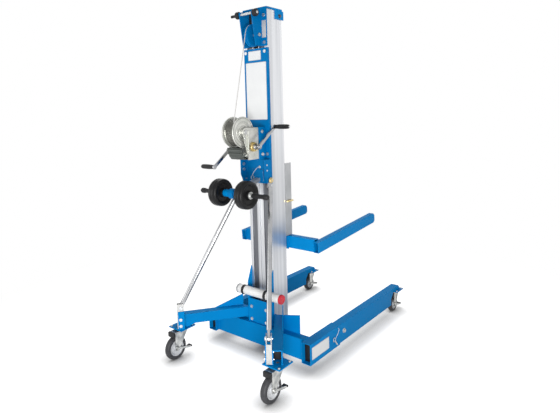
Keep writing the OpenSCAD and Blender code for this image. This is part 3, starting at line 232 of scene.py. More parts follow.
floor_sheet = bmesh.new()
bmesh.ops.create_grid(floor_sheet, x_segments=1, y_segments=1, size=floor_half)
floor_mesh = bpy.data.meshes.new("floor")
floor_sheet.to_mesh(floor_mesh)
floor_sheet.free()
floor = bpy.data.objects.new("floor", floor_mesh)
bpy.context.scene.collection.objects.link(floor)
floor_finish = bpy.data.materials.new("floor_sheet")
floor_finish.use_nodes = True
floor_tree = floor_finish.node_tree
floor_join = floor_tree.links.new
floor_shader = floor_tree.nodes["Principled BSDF"]
floor_shader.inputs["Base Color"].default_value = (floor_grey, floor_grey, floor_grey, 1)
floor_shader.inputs["Roughness"].default_value = 0.9
floor_shader.inputs["Specular IOR Level"].default_value = 0.0
floor_shader.inputs["Emission Color"].default_value = (1, 1, 1, 1)
(floor_occlusion, floor_shadow_falloff, floor_glow_with_painted_shadow, floor_place,
 floor_far, floor_fade, floor_white, floor_mix) = (
    floor_tree.nodes.new("ShaderNode" + kind)
    for kind in ("AmbientOcclusion", "Math", "Math", "TexCoord",
                 "VectorMath", "MapRange", "Emission", "MixShader"))
# Painted contact shadow: ambient occlusion darkens the floor's glow under and beside the object.
floor_occlusion.inputs["Distance"].default_value = shade_reach
floor_shadow_falloff.operation = "POWER"
floor_shadow_falloff.inputs[1].default_value = shade_depth
floor_glow_with_painted_shadow.operation = "MULTIPLY"
floor_join(floor_occlusion.outputs["AO"], floor_shadow_falloff.inputs[0])
floor_join(seen_directly(floor_tree), floor_glow_with_painted_shadow.inputs[0])
floor_join(floor_shadow_falloff.outputs[0], floor_glow_with_painted_shadow.inputs[1])
floor_join(floor_glow_with_painted_shadow.outputs[0], floor_shader.inputs["Emission Strength"])
floor_far.operation = "LENGTH"
floor_fade.interpolation_type = "SMOOTHSTEP"
set_range(floor_fade, fade_from, fade_to, 0, 1)
floor_join(floor_place.outputs["Object"], floor_far.inputs[0])
floor_join(floor_far.outputs["Value"], floor_fade.inputs["Value"])
floor_join(floor_fade.outputs["Result"], floor_mix.inputs[0])
floor_join(floor_shader.outputs[0], floor_mix.inputs[1])
floor_join(floor_white.outputs[0], floor_mix.inputs[2])
floor_join(floor_mix.outputs[0], floor_tree.nodes["Material Output"].inputs["Surface"])
floor_mesh.materials.append(floor_finish)

for lamp_name, lamp_place, lamp_aim, lamp_power, lamp_size in (
        ("key_lamp", (3.3, -4.3, 1.3), 0.9, 115, 2.4),
        ("left_lamp", (-2.8, -3.8, 1.2), 0.9, 26, 2.2),
        ("top_lamp", (-1.3, 1.1, 4.0), 0.9, 52, 1.4),
        ("front_lamp", (1.5, 3.4, 2.0), 0.9, 15, 2.4),
        ("low_lamp", (1.7, -2.3, 0.45), 0.1, 34, 0.8)):
    lamp = bpy.data.lights.new(lamp_name, "AREA")
    lamp.energy = lamp_power
    lamp.size = lamp_size
    stand = bpy.data.objects.new(lamp_name, lamp)
    bpy.context.scene.collection.objects.link(stand)
    stand.location = lamp_place
    beam = Vector((0, 0, lamp_aim)) - Vector(lamp_place)
    stand.rotation_euler = beam.to_track_quat("-Z", "Y").to_euler()
bpy.context.scene.view_settings.view_transform = "Standard"

# Base frame: a folded steel crossbeam between two leg sleeves, with gussets and a shelf for the
# mast's foot, welded together and powder coated blue. The beads of weld show through the paint.
bead_r, bead_pitch, bead_swell = 0.0026, 0.006, 0.16
rings_per_pitch = 4


def dress(finish, *names):
    """Gives CAD nodes their finish."""
    for name in names:
        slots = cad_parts[name].data.materials
        slots.clear()
        slots.append(finish)


def pour(bm, part, place):
    """Moves a part into place and adds it to a bmesh."""
    part.transform(place)
    holder = bpy.data.meshes.new("part")
    part.to_mesh(holder)
    part.free()
    bm.from_mesh(holder)
    bpy.data.meshes.remove(holder)


def finished(name, bm, finish, body, crease=35):
    """Turns a bmesh into a piece that rides on a body."""
    mesh = bpy.data.meshes.new(name)
    bm.to_mesh(mesh)
    bm.free()
    mesh.shade_smooth()
    mesh.set_sharp_from_angle(angle=math.radians(crease))
    mesh.materials.append(finish)
    piece = bpy.data.objects.new(name, mesh)
    bpy.context.scene.collection.objects.link(piece)
    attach(piece, body)
    return piece


def aimed(place, outwards):
    """A frame at a place whose Z axis points outwards."""
    turn = Vector(outwards).to_track_quat("Z", "Y").to_matrix().to_4x4()
    return Matrix.Translation(place) @ turn


def add_bead(bm, start, end):
    """A run of weld: a thin bar that swells and shrinks as each puddle froze."""
    run = end - start
    part = bmesh.new()
    bmesh.ops.create_cone(part, cap_ends=True, segments=8, radius1=bead_r, radius2=bead_r,
                          depth=run.length)
    sides = [e for e in part.edges if abs(e.verts[0].co.z - e.verts[1].co.z) > bead_r]
    bmesh.ops.subdivide_edges(part, edges=sides,
                              cuts=int(run.length / bead_pitch * rings_per_pitch))
    for v in part.verts:
        swell = 1 + bead_swell * math.cos(2 * math.pi * v.co.z / bead_pitch)
        v.co.x *= swell
        v.co.y *= swell
    pour(bm, part, aimed((start + end) / 2, run))


# Its lighter edge tone is partly wear, partly a painted highlight along the edges.
blue_enamel = surface("blue_enamel", ((0.0, 0.225, 0.575), (0.0, 0.208, 0.535)),
                      0.0, (0.34, 0.46), 5, 420, 0.00012,
                      edge=0.003, chip_and_highlight_tone=(0.08, 0.32, 0.62), shine=0.04)
dress(blue_enamel, "base_frame")
sleeve_in = 0.324
beam_low, beam_top, beam_back = 0.062, 0.178, -0.050
corner_gap = 0.004
shelf_weld_from, shelf_weld_to = -0.048, -0.003
gusset_in, gusset_back = 0.088, -0.0055
base_welds = bmesh.new()
for side, gusset_out in ((-1, 0.198), (1, 0.262)):
    corner = side * (sleeve_in - bead_r / 2)
    add_bead(base_welds, behind_mast(corner, beam_back, beam_low + corner_gap),
             behind_mast(corner, beam_back, beam_top - corner_gap))
    add_bead(base_welds, behind_mast(corner, shelf_weld_from, beam_top),
             behind_mast(corner, shelf_weld_to, beam_top))
    add_bead(base_welds, behind_mast(side * gusset_in, gusset_back, beam_top),
             behind_mast(side * gusset_out, gusset_back, beam_top))
finished("base_welds", base_welds, blue_enamel, "base", crease=80)

# Legs: square steel tubes, painted blue, that slide in the sleeves, held by zinc lock pins and
# stopped by a zinc bolt. A black block in each leg's rear end is painted shade for the dark inside
# of the sleeve, and a plain white vinyl label with a border is stuck on each sleeve's outer face.
dress(blue_enamel, "left_leg", "right_leg")


def add_label(bm, low, high, corner, axis):
    """A sheet of vinyl film from corner to corner with rounded corners, thin along the axis."""
    part = bmesh.new()
    bmesh.ops.create_cube(part, size=1)
    size = high - low
    part.transform(Matrix.Diagonal((*size, 1)))
    short = [e for e in part.edges if abs((e.verts[0].co - e.verts[1].co)[axis]) > size[axis] / 2]
    bmesh.ops.bevel(part, geom=short, offset=corner, segments=4, profile=0.5,
                    affect="EDGES", material=-1)
    pour(bm, part, Matrix.Translation((low + high) / 2))


def add_bolt(bm, seat, outwards, head_r):
    """A hexagon head with rounded corners, on a washer."""
    part = bmesh.new()
    bmesh.ops.create_cone(part, cap_ends=True, segments=6, radius1=head_r, radius2=head_r,
                          depth=head_r * 0.7)
    part.transform(Matrix.Translation((0, 0, head_r * 0.5)))
    bmesh.ops.bevel(part, geom=part.edges[:], offset=head_r * 0.08, segments=2, profile=0.5,
                    affect="EDGES", material=-1)
    pour(bm, part, aimed(seat, outwards))
    washer = bmesh.new()
    bmesh.ops.create_cone(washer, cap_ends=True, segments=24,
                          radius1=head_r * 1.32, radius2=head_r * 1.25, depth=head_r * 0.2,
                          matrix=Matrix.Translation((0, 0, head_r * 0.1)))
    pour(bm, washer, aimed(seat, outwards))


def add_block(bm, low, high, soften):
    """A moulded or machined block from corner to corner with rounded edges."""
    part = bmesh.new()
    bmesh.ops.create_cube(part, size=1)
    part.transform(Matrix.Diagonal((*(high - low), 1)))
    bmesh.ops.bevel(part, geom=part.edges[:], offset=soften, segments=3, profile=0.5,
                    affect="EDGES", material=-1)
    pour(bm, part, Matrix.Translation((low + high) / 2))


label_vinyl = surface("label_vinyl", ((0.76, 0.77, 0.77), (0.73, 0.74, 0.745)),
                      0.0, (0.3, 0.42), 14, 260, 0.00008, shine=0.3)
label_border = surface("label_border", ((0.40, 0.42, 0.45), (0.34, 0.36, 0.40)),
                       0.0, (0.3, 0.42), 14, 260, 0.00008, shine=0.3)
bright_zinc = surface("bright_zinc", ((0.58, 0.58, 0.57), (0.46, 0.47, 0.465)),
                      0.85, (0.28, 0.46), 30, 300, 0.0001,
                      edge=0.0012, rim=(0.5, 0.5, 0.5))
pale_zinc = surface("pale_zinc", ((0.54, 0.54, 0.53), (0.45, 0.46, 0.45)),
                    0.4, (0.30, 0.46), 26, 300, 0.0001, edge=0.0012)
black_rubber = surface("black_rubber", ((0.006, 0.006, 0.007), (0.011, 0.011, 0.012)),
                       0.0, (0.42, 0.6), 50, 450, 0.00015, shine=0.3)
dress(pale_zinc, "lock_pins")
leg_x = 0.353
stop_bolt_x, stop_bolt_y, stop_bolt_z, stop_bolt_r = 0.3787, 0.272, 0.126, 0.0105
leg_shade_half, leg_shade_low, leg_shade_top = 0.0252, 0.0658, 0.1742
leg_shade_back, leg_shade_front = -0.0505, -0.0465
film_t, border_w = 0.0006, 0.0025
label_back, label_front, label_low, label_top = -0.063, 0.105, 0.088, 0.157
sleeve_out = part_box("base_frame")[1].x
sleeve_borders, sleeve_labels = bmesh.new(), bmesh.new()
for side_name, side in (("left", -1), ("right", 1)):
    leg_body = side_name + "_leg"
    for sheet, inset, lift in ((sleeve_borders, 0, 0), (sleeve_labels, border_w, film_t / 2)):
        faces = sorted((side * sleeve_out, side * (sleeve_out + film_t + lift)))
        add_label(sheet, behind_mast(faces[0], label_back + inset, label_low + inset),
                  behind_mast(faces[1], label_front - inset, label_top - inset),
                  0.004 - inset / 2, 0)
    stop_bolt = bmesh.new()
    add_bolt(stop_bolt, behind_mast(side * stop_bolt_x, stop_bolt_y, stop_bolt_z),
             (side, 0, 0), stop_bolt_r)
    finished(leg_body + "_stop_bolt", stop_bolt, bright_zinc, leg_body)
    # A black block at the leg's rear end: painted shade for the inside of the sleeve.
    leg_end_shade = bmesh.new()
    add_block(leg_end_shade, behind_mast(side * leg_x - leg_shade_half, leg_shade_back, leg_shade_low),
              behind_mast(side * leg_x + leg_shade_half, leg_shade_front, leg_shade_top), 0.0015)
    finished(leg_body + "_cap", leg_end_shade, black_rubber, leg_body)
finished("sleeve_label_borders", sleeve_borders, label_border, "base")
finished("sleeve_labels", sleeve_labels, label_vinyl, "base")

# Casters: zinc plated forks on a swivel plate, each with a grey rubber tyre on a moulded hub, a
# black brake block over the tyre and a pedal with a rubber tread. Bolts hold each plate.
fork_zinc = surface("fork_zinc", ((0.62, 0.62, 0.60), (0.30, 0.31, 0.31)),
                    0.9, (0.22, 0.42), 34, 300, 0.0001, edge=0.0012, rim=(0.2, 0.2, 0.2))
tyre_rubber = surface("tyre_rubber", ((0.050, 0.050, 0.054), (0.034, 0.034, 0.038)),
                      0.0, (0.45, 0.62), 40, 500, 0.00015, shine=0.3)
hub_plastic = surface("hub_plastic", ((0.60, 0.61, 0.62), (0.50, 0.51, 0.53)),
                      0.0, (0.35, 0.5), 40, 500, 0.00008, shine=0.4)


def add_turned(bm, outline, centre, steps=48):
    """A piece turned about an axle along X. The outline is of (along, radius) pairs; one that
    doesn't begin and end on the axle is closed into a ring."""
    part = bmesh.new()
    dots = [part.verts.new((along, radius, 0)) for along, radius in outline]
    lines = [part.edges.new(pair) for pair in zip(dots, dots[1:])]
    if outline[0][1] > 0:
        lines.append(part.edges.new((dots[-1], dots[0])))
    bmesh.ops.spin(part, geom=dots + lines, cent=(0, 0, 0), axis=(1, 0, 0), angle=2 * math.pi,
                   steps=steps, use_merge=True)
    bmesh.ops.remove_doubles(part, verts=part.verts, dist=1e-6)
    bmesh.ops.recalc_face_normals(part, faces=part.faces)
    pour(bm, part, Matrix.Translation(centre))


def both_ways(half):
    """An outline given for one side, carried round to the other."""
    return half + [(-along, radius) for along, radius in reversed(half) if along]


caster_half, hub_bore_r = 0.016, 0.0085
tyre_gap, crown_lap = 0.0022, 0.0025
block_half, block_back, block_front, block_drop = 0.0184, 0.0165, 0.0226, 0.0063
shoe_half, shoe_back, shoe_front, shoe_drop = 0.0245, 0.0310, 0.0157, 0.003
tread_t, tread_round, tread_deep, tread_short, tread_tall = 0.0015, 0.0018, 0.0200, 0.0043, 0.0062
lip_deep, lip_out, lip_drop, lip_tall = 0.0070, 0.0030, 0.0018, 0.0078
axle_nut_r, plate_bolt_r, plate_t = 0.0086, 0.0055, 0.006
tyre_shares = [(0.86, 0.66), (1, 0.69), (1, 0.84), (0.93, 0.91), (0.74, 0.96),
               (0.45, 0.99), (0, 1)]
hub_shares = [(0.98, 0.24), (0.90, 0.27), (0.52, 0.31), (0.46, 0.50), (0.70, 0.57),
              (0.90, 0.60), (0.90, 0.665)]
for end, wheel_r, swivel_y, trail, crown_low, plate_low, plate_half in (
        ("rear", 0.069, -0.316, 0.056, 0.1635, 0.173, 0.054),
        ("front", 0.051, 1.003, 0.029, 0.1315, 0.141, 0.047)):
    for side_name, side in (("left", -1), ("right", 1)):
        caster = f"{end}_{side_name}_caster"
        pedal = f"{end}_{side_name}_pedal"
        wheel_node = f"{end}_{side_name}_wheel"
        dress(fork_zinc, caster, pedal)
        swivel_x = side * leg_x
        wheel_y = swivel_y - trail
        axle = behind_mast(swivel_x, wheel_y, wheel_r)
        tyre = bmesh.new()
        tyre_outline = [(caster_half * along, wheel_r * radius) for along, radius in tyre_shares]
        add_turned(tyre, both_ways(tyre_outline), axle, steps=56)
        tyre = finished(wheel_node + "_tyre", tyre, tyre_rubber, wheel_node,
                        crease=50)
        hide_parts(wheel_node)
        hub = bmesh.new()
        hub_outline = [(caster_half * along, wheel_r * radius) for along, radius in hub_shares]
        add_turned(hub, both_ways([(hub_outline[0][0], hub_bore_r), *hub_outline]), axle, steps=40)
        finished(wheel_node + "_hub", hub, hub_plastic, wheel_node)
        brake = bmesh.new()
        brake_low, brake_top = 2 * wheel_r + tyre_gap, crown_low + crown_lap
        add_block(brake, behind_mast(swivel_x - block_half, wheel_y - block_back, brake_low),
                  behind_mast(swivel_x + block_half, wheel_y + block_front,
                              crown_low - block_drop), 0.003)
        add_block(brake, behind_mast(swivel_x - shoe_half, wheel_y - shoe_back,
                                     brake_low - shoe_drop),
                  behind_mast(swivel_x + shoe_half, wheel_y - shoe_front, brake_top), 0.004)
        finished(caster + "_brake_block", brake, black_rubber, caster)
        low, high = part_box(pedal)
        tread = bmesh.new()
        add_block(tread, Vector((low.x - tread_t, high.y - tread_deep, low.z - tread_t)),
                  Vector((high.x - tread_short, high.y + tread_t, low.z + tread_tall)),
                  tread_round)
        add_block(tread, Vector((low.x - tread_t, high.y - lip_deep, low.z - lip_drop)),
                  Vector((high.x + tread_t, high.y + lip_out, low.z + lip_tall)), tread_round)
        finished(pedal + "_tread", tread, black_rubber, pedal)
        nuts = bmesh.new()
        for way, nut_out in ((1, 0.0277), (-1, 0.0231)):
            add_bolt(nuts, axle + Vector((way * nut_out, 0, 0)), (way, 0, 0), axle_nut_r)
        finished(caster + "_axle_nuts", nuts, bright_zinc, caster)
        plate_bolts = bmesh.new()
        bolt_out = plate_half * 0.78
        for across, ahead in ((-1, -1), (-1, 1), (1, -1), (1, 1)):
            place = behind_mast(swivel_x + side * across * bolt_out,
                                swivel_y + ahead * bolt_out, plate_low)
            add_bolt(plate_bolts, place, (0, 0, -1), plate_bolt_r)
            if end == "front" or (across, ahead) != (-1, -1):
                add_bolt(plate_bolts, place + Vector((0, 0, plate_t)), (0, 0, 1), plate_bolt_r)
        finished(caster + "_plate_bolts", plate_bolts, bright_zinc,
                 "base" if end == "rear" else side_name + "_leg")

# Rear arms and braces: folded channels painted blue run back to the rear casters, welded to the
# caster plates, with a black block inside each channel's end as painted shade. Chromed tubes with
# flattened ends tie their zinc clips to the lower bracket, each held there by a yellow zinc bolt.
chrome = surface("chrome", ((0.46, 0.46, 0.47), (0.38, 0.39, 0.40)),
                 1.0, (0.08, 0.16), 20, 300, 0.00003, rim=(0.03, 0.03, 0.035))
bolt_zinc = surface("bolt_zinc", ((0.60, 0.62, 0.65), (0.48, 0.50, 0.53)),
                    0.85, (0.26, 0.42), 60, 300, 0.00008, edge=0.001)
yellow_zinc = surface("yellow_zinc", ((0.74, 0.58, 0.22), (0.62, 0.52, 0.34)),
                      0.85, (0.24, 0.4), 45, 300, 0.00006, edge=0.001,
                      rim=(0.4, 0.36, 0.25))
dress(blue_enamel, "left_arm", "right_arm")
dress(pale_zinc, "brace_clips")
dress(bolt_zinc, "frame_bolts")
dress(chrome, "left_brace", "right_brace")
brace_bolt_x, brace_bolt_y, brace_bolt_z, brace_bolt_r = 0.0968, -0.0180, 1.022, 0.0122
arm_from, arm_to, arm_half = Vector((0.124, -0.008)), Vector((0.353, -0.316)), 0.025
arm_along = (arm_to - arm_from).normalized()
arm_across = Vector((-arm_along.y, arm_along.x))
arm_weld_z, arm_weld_span, arm_weld_proud = 0.1800, (-0.052, 0.022), 0.0008
# A black block inside each arm's open end: painted shade for the channel's dark inside.
shade_block_along = 0.352
shade_block_at = arm_from + arm_along * shade_block_along
shade_block_half_t, shade_block_half_w, shade_block_low, shade_block_top = 0.006, 0.0197, 0.1796, 0.246
brace_bolts, arm_welds, arm_shade_blocks = bmesh.new(), bmesh.new(), bmesh.new()
for side in (-1, 1):
    add_bolt(brace_bolts, behind_mast(side * brace_bolt_x, brace_bolt_y, brace_bolt_z),
             (side, 0, 0), brace_bolt_r)
    spots = [arm_to + arm_along * step + arm_across * (arm_half + arm_weld_proud)
             for step in arm_weld_span]
    add_bead(arm_welds, *(behind_mast(side * spot.x, spot.y, arm_weld_z) for spot in spots))
    shade_block = bmesh.new()
    add_block(shade_block, Vector((-shade_block_half_t, -shade_block_half_w, shade_block_low)),
              Vector((shade_block_half_t, shade_block_half_w, shade_block_top)), 0.0015)
    shade_block_turn = Matrix.Rotation(math.atan2(arm_along.y, side * arm_along.x), 4, "Z")
    shade_block_place = Matrix.Translation(behind_mast(side * shade_block_at.x, shade_block_at.y, 0))
    pour(arm_shade_blocks, shade_block, shade_block_place @ shade_block_turn)
finished("brace_bolts", brace_bolts, yellow_zinc, "base")
finished("arm_end_shade_blocks", arm_shade_blocks, black_rubber, "base")
finished("arm_welds", arm_welds, blue_enamel, "base", crease=80)

# Mast: a foot bracket bolted to the crossbeam holds the fixed rear column, and the front column
# slides on it. Both are anodised aluminium extrusions with fine lines; the rear column's grooves
# are darkened towards their floor as painted shade.
groove_x, groove_half = 0.043, 0.0192
groove_lip, groove_floor = 0.0004, 0.0050
# Painted shade: the rear column's grooves darken towards their floor.
groove_painted_shade = (0.16, 0.165, 0.18, 1)
anodised = surface("anodised", ((0.66, 0.67, 0.69), (0.53, 0.54, 0.56)),
                   0.85, (0.30, 0.44), 46, 420, 0.00006,
                   stretch=(1, 1, 0.012), edge=0.0012, rim=(0.5, 0.5, 0.52))
groove_shaded_anodised = anodised.copy()
groove_shaded_anodised.name = "anodised_groove_shade"
groove_tree = groove_shaded_anodised.node_tree
groove_make, groove_join = groove_tree.nodes.new, groove_tree.links.new
groove_shader = groove_tree.nodes["Principled BSDF"]
groove_part, groove_side, groove_near, groove_shade_depth, groove_shade_mask, groove_shade_mix = (
    groove_make("ShaderNode" + kind)
    for kind in ("SeparateXYZ", "Math", "Math", "MapRange", "Math", "Mix"))
groove_join(groove_make("ShaderNodeTexCoord").outputs["Object"], groove_part.inputs["Vector"])
groove_side.operation = "ABSOLUTE"
groove_join(groove_part.outputs["X"], groove_side.inputs[0])
groove_near.operation = "COMPARE"
groove_join(groove_side.outputs[0], groove_near.inputs[0])
groove_near.inputs[1].default_value = groove_x
groove_near.inputs[2].default_value = groove_half
groove_join(groove_part.outputs["Y"], groove_shade_depth.inputs["Value"])
set_range(groove_shade_depth, rear_face + groove_lip, rear_face + groove_floor, 0, 1)
groove_shade_mask.operation = "MULTIPLY"
groove_join(groove_near.outputs[0], groove_shade_mask.inputs[0])
groove_join(groove_shade_depth.outputs["Result"], groove_shade_mask.inputs[1])
groove_shade_mix.data_type = "RGBA"
groove_join(groove_shade_mask.outputs[0], groove_shade_mix.inputs["Factor"])
groove_join(groove_shader.inputs["Base Color"].links[0].from_socket, groove_shade_mix.inputs["A"])
groove_shade_mix.inputs["B"].default_value = groove_painted_shade
groove_join(groove_shade_mix.outputs["Result"], groove_shader.inputs["Base Color"])
nylon = surface("nylon", ((0.10, 0.10, 0.105), (0.075, 0.075, 0.08)),
                0.0, (0.4, 0.55), 40, 300, 0.0001)
dark_steel = surface("dark_steel", ((0.10, 0.10, 0.11), (0.065, 0.065, 0.07)),
                     0.8, (0.3, 0.45), 40, 300, 0.00008, edge=0.001)
dress(blue_enamel, "mast_foot", "column_head")
dress(anodised, "front_column")
dress(groove_shaded_anodised, "rear_column")
dress(nylon, "column_foot_sheave", "column_head_sheave")
head_bolt_x, head_bolt_y, head_bolt_z, head_bolt_r = 0.0826, 0.114, 1.925, 0.0085
head_bolts = bmesh.new()
for side in (-1, 1):
    add_bolt(head_bolts, behind_mast(side * head_bolt_x, head_bolt_y, head_bolt_z),
             (side, 0, 0), head_bolt_r)
finished("column_head_bolts", head_bolts, dark_steel, "lift_column")

# Back panel and brackets: folded sheet, painted blue and bolted to the rear column, shown in a
# darker copy of the blue enamel as painted shade. The panel carries two plain white labels. The
# top bracket holds the sheave, nylon wear pads and two rubber rollers on a sleeved shaft, and the
# lower bracket a lanyard's screw.
# The blue enamel made darker: painted shade on the panel, its brackets and the parts mounted on
# it.
painted_shade_enamel = surface("painted_shade_enamel", ((0.0, 0.168, 0.445), (0.0, 0.154, 0.410)),
                       0.0, (0.34, 0.46), 5, 420, 0.00012,
                       edge=0.003, chip_and_highlight_tone=(0.08, 0.30, 0.60), shine=0.04)
wear_nylon = surface("wear_nylon", ((0.56, 0.55, 0.54), (0.49, 0.48, 0.48)),
                     0.0, (0.4, 0.55), 30, 300, 0.0001)
dress(painted_shade_enamel, "back_panel", "lower_bracket", "top_bracket", "top_sheave")
dress(bright_zinc, "axle_pins")
panel_back = -0.003
panel_borders, panel_labels = bmesh.new(), bmesh.new()
for low_x, high_x, low_z, high_z in ((-0.074, 0.074, 1.356, 1.672),
                                     (-0.054, 0.038, 1.683, 1.735)):
    for sheet, inset, lift in ((panel_borders, 0, 0), (panel_labels, border_w, film_t / 2)):
        add_label(sheet, behind_mast(low_x + inset, panel_back - film_t - lift, low_z + inset),
                  behind_mast(high_x - inset, panel_back, high_z - inset), 0.005 - inset, 1)
finished("panel_label_borders", panel_borders, label_border, "base")
finished("panel_labels", panel_labels, label_vinyl, "base")
screw_place, screw_r = behind_mast(0.011, -0.0081, 1.0915), 0.0062
lanyard_screw = bmesh.new()
add_bolt(lanyard_screw, screw_place, (0, -1, 0), screw_r)
finished("lanyard_screw", lanyard_screw, bright_zinc, "base")
pad_in, pad_out, pad_low, pad_top = 0.0475, 0.0815, 1.795, 1.894
pad_back, pad_front = -0.0028, -0.0004
roller_x, roller_y, roller_z = 0.061, -0.068, 1.923
roller_outline = both_ways([(0.011, 0.0076), (0.011, 0.0165), (0.0095, 0.0188), (0.0070, 0.0200),
                            (0.0025, 0.0200), (0, 0.0192)])
wear_pads, load_roller, shaft_sleeve = bmesh.new(), bmesh.new(), bmesh.new()
for side in (-1, 1):
    pad_x = sorted((side * pad_in, side * pad_out))
    add_block(wear_pads, behind_mast(pad_x[0], pad_back, pad_low),
              behind_mast(pad_x[1], pad_front, pad_top), 0.0006)
    add_turned(load_roller, roller_outline, behind_mast(side * roller_x, roller_y, roller_z),
               steps=32)
add_turned(shaft_sleeve, [(-0.1112, 0), (-0.1112, 0.0060), (-0.1098, 0.0078),
                          (-0.0735, 0.0078), (-0.0735, 0)],
           behind_mast(0, roller_y, roller_z), steps=24)
finished("wear_pads", wear_pads, wear_nylon, "base")
finished("roller_shaft_sleeve", shaft_sleeve, black_rubber, "base")
load_roller = finished("load_roller_rubber", load_roller, black_rubber,
                       "load_rollers")
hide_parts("load_rollers")

# Document tube: a white plastic pipe strapped to the foot bracket, with a red screw cap on the
# right end and a grey one on the left. The black straps are rubber.
white_plastic = surface("white_plastic", ((0.82, 0.82, 0.81), (0.74, 0.74, 0.74)),
                        0.0, (0.28, 0.4), 18, 300, 0.00008)
red_plastic = surface("red_plastic", ((0.58, 0.013, 0.030), (0.48, 0.010, 0.024)),
                      0.0, (0.28, 0.4), 40, 300, 0.00008)
grey_plastic = surface("grey_plastic", ((0.42, 0.43, 0.44), (0.36, 0.37, 0.38)),
                       0.0, (0.3, 0.45), 40, 300, 0.00008)
dress(white_plastic, "document_tube")
dress(black_rubber, "tube_clamps")
tube_y, tube_z = -0.064, 0.376
cap_r = 0.0266
cap_outline = [(0.0020, 0), (0.0020, 0.011), (0.0005, 0.013), (0, 0.016), (0, 0.022),
               (0.0012, 0.0250), (0.004, cap_r), (0.014, cap_r), (0.0145, 0.0256),
               (0.0145, 0.0252), (0.0030, 0.0252), (0.0030, 0)]
for cap_name, cap_finish, cap_x, way in (("right_tube_cap", red_plastic, 0.195, 1),
                                         ("left_tube_cap", grey_plastic, -0.131, -1)):
    cap = bmesh.new()
    add_turned(cap, [(cap_x - way * along, radius) for along, radius in cap_outline],
               behind_mast(0, tube_y, tube_z), steps=40)
    cap = finished(cap_name, cap, cap_finish, "base")
    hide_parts("tube_caps")

# Winch: a ribbed zinc plated frame between blue mounts on the panel, with a drum whose flanges
# have pressed rims with thin dark rings beside them as painted shade, gears behind a ribbed grey
# guard, a yellow zinc brake on the crank shaft, and two crank arms with turning black grips.
guard_paint = surface("guard_paint", ((0.070, 0.080, 0.072), (0.048, 0.056, 0.050)),
                      0.1, (0.36, 0.5), 12, 400, 0.0001, edge=0.001)
winch_zinc = surface("winch_zinc", ((0.64, 0.64, 0.60), (0.50, 0.51, 0.47)),
                     0.6, (0.24, 0.42), 26, 300, 0.0001,
                     edge=0.0012, rim=(0.2, 0.2, 0.18))
pale_nylon = surface("pale_nylon", ((0.62, 0.63, 0.64), (0.54, 0.55, 0.56)),
                     0.0, (0.3, 0.45), 40, 300, 0.00008)
dress(winch_zinc, "winch_frame", "drum")
dress(chrome, "crank_arms", "crank_shaft")
dress(yellow_zinc, "brake_disc")
dress(guard_paint, "winch_guard")
drum_y, drum_z, shaft_y, shaft_z = -0.164, 1.293, -0.112, 1.213
mount_in, mount_out = 0.0541, 0.0577
mount_back, mount_front, mount_low, mount_top = -0.062, -0.0034, 1.140, 1.318
rib_in, rib_out = 0.0535, 0.0630
rib_back, rib_front, rib_low, rib_top = -0.1535, -0.1475, 1.150, 1.300
mount_bolt_y, mount_bolt_r = -0.034, 0.0075
side_screw_y, side_screw_z, side_screw_r = -0.172, 1.262, 0.0042
winch_mounts, winch_bolts, winch_ribs = bmesh.new(), bmesh.new(), bmesh.new()
for side in (-1, 1):
    faces = sorted((side * mount_in, side * mount_out))
    add_block(winch_mounts, behind_mast(faces[0], mount_back, mount_low),
              behind_mast(faces[1], mount_front, mount_top), 0.0012)
    for bolt_z in (1.168, 1.292):
        add_bolt(winch_bolts, behind_mast(side * mount_out, mount_bolt_y, bolt_z),
                 (side, 0, 0), mount_bolt_r)
    add_bolt(winch_bolts, behind_mast(side * mount_in, side_screw_y, side_screw_z),
             (side, 0, 0), side_screw_r)
    faces = sorted((side * rib_in, side * rib_out))
    add_block(winch_ribs, behind_mast(faces[0], rib_back, rib_low),
              behind_mast(faces[1], rib_front, rib_top), 0.0014)
# The winch mounts take the darker blue, which is painted shade.
finished("winch_mounts", winch_mounts, painted_shade_enamel, "base")
finished("winch_bolts", winch_bolts, bright_zinc, "base")
finished("winch_ribs", winch_ribs, winch_zinc, "base")
flange_x, rim_round = 0.036, 0.0008
drum_centre = behind_mast(0, drum_y, drum_z)
drum_rims, drum_groove_shade_rings = bmesh.new(), bmesh.new()
for side in (-1, 1):
    for inner, outer, proud in ((0.0765, 0.0828, 0.0024), (0.0480, 0.0535, 0.0016),
                                (0.0280, 0.0320, 0.0018)):
        middle = (inner + outer) / 2
        root, shoulder = flange_x - 0.0005, flange_x + proud * 0.7
        rim_outline = [(root, inner), (shoulder, inner + rim_round), (flange_x + proud, middle),
                       (shoulder, outer - rim_round), (root, outer)]
        add_turned(drum_rims, [(side * along, radius) for along, radius in rim_outline],
                   drum_centre, steps=64)
    # Thin dark rings just proud of each flange beside its rims: painted shade, not cut grooves.
    for inner, outer in ((0.0745, 0.0760), (0.0560, 0.0572), (0.0333, 0.0345)):
        deep, face = side * (flange_x - 0.0003), side * (flange_x + 0.0002)
        add_turned(drum_groove_shade_rings, [(deep, inner), (face, inner), (face, outer), (deep, outer)],
                   drum_centre, steps=64)
finished("drum_rims", drum_rims, winch_zinc, "winch_drum", crease=60)
finished("drum_groove_shade_rings", drum_groove_shade_rings, dark_steel, "winch_drum")
guard_half = 0.0502
guard_ribs = bmesh.new()
for low_y, high_y, low_z, high_z in ((-0.2075, -0.2000, 1.196, 1.204),
                                     (-0.1980, -0.1900, 1.176, 1.183)):
    add_block(guard_ribs, behind_mast(-guard_half, low_y, low_z),
              behind_mast(guard_half, high_y, high_z), 0.0016)
finished("guard_ribs", guard_ribs, guard_paint, "base")
hole_count, hole_circle_r = 6, 0.0170
hole_outline = [(0.0757, 0), (0.0757, 0.0030), (0.0763, 0.0030), (0.0763, 0)]
brake_holes = bmesh.new()
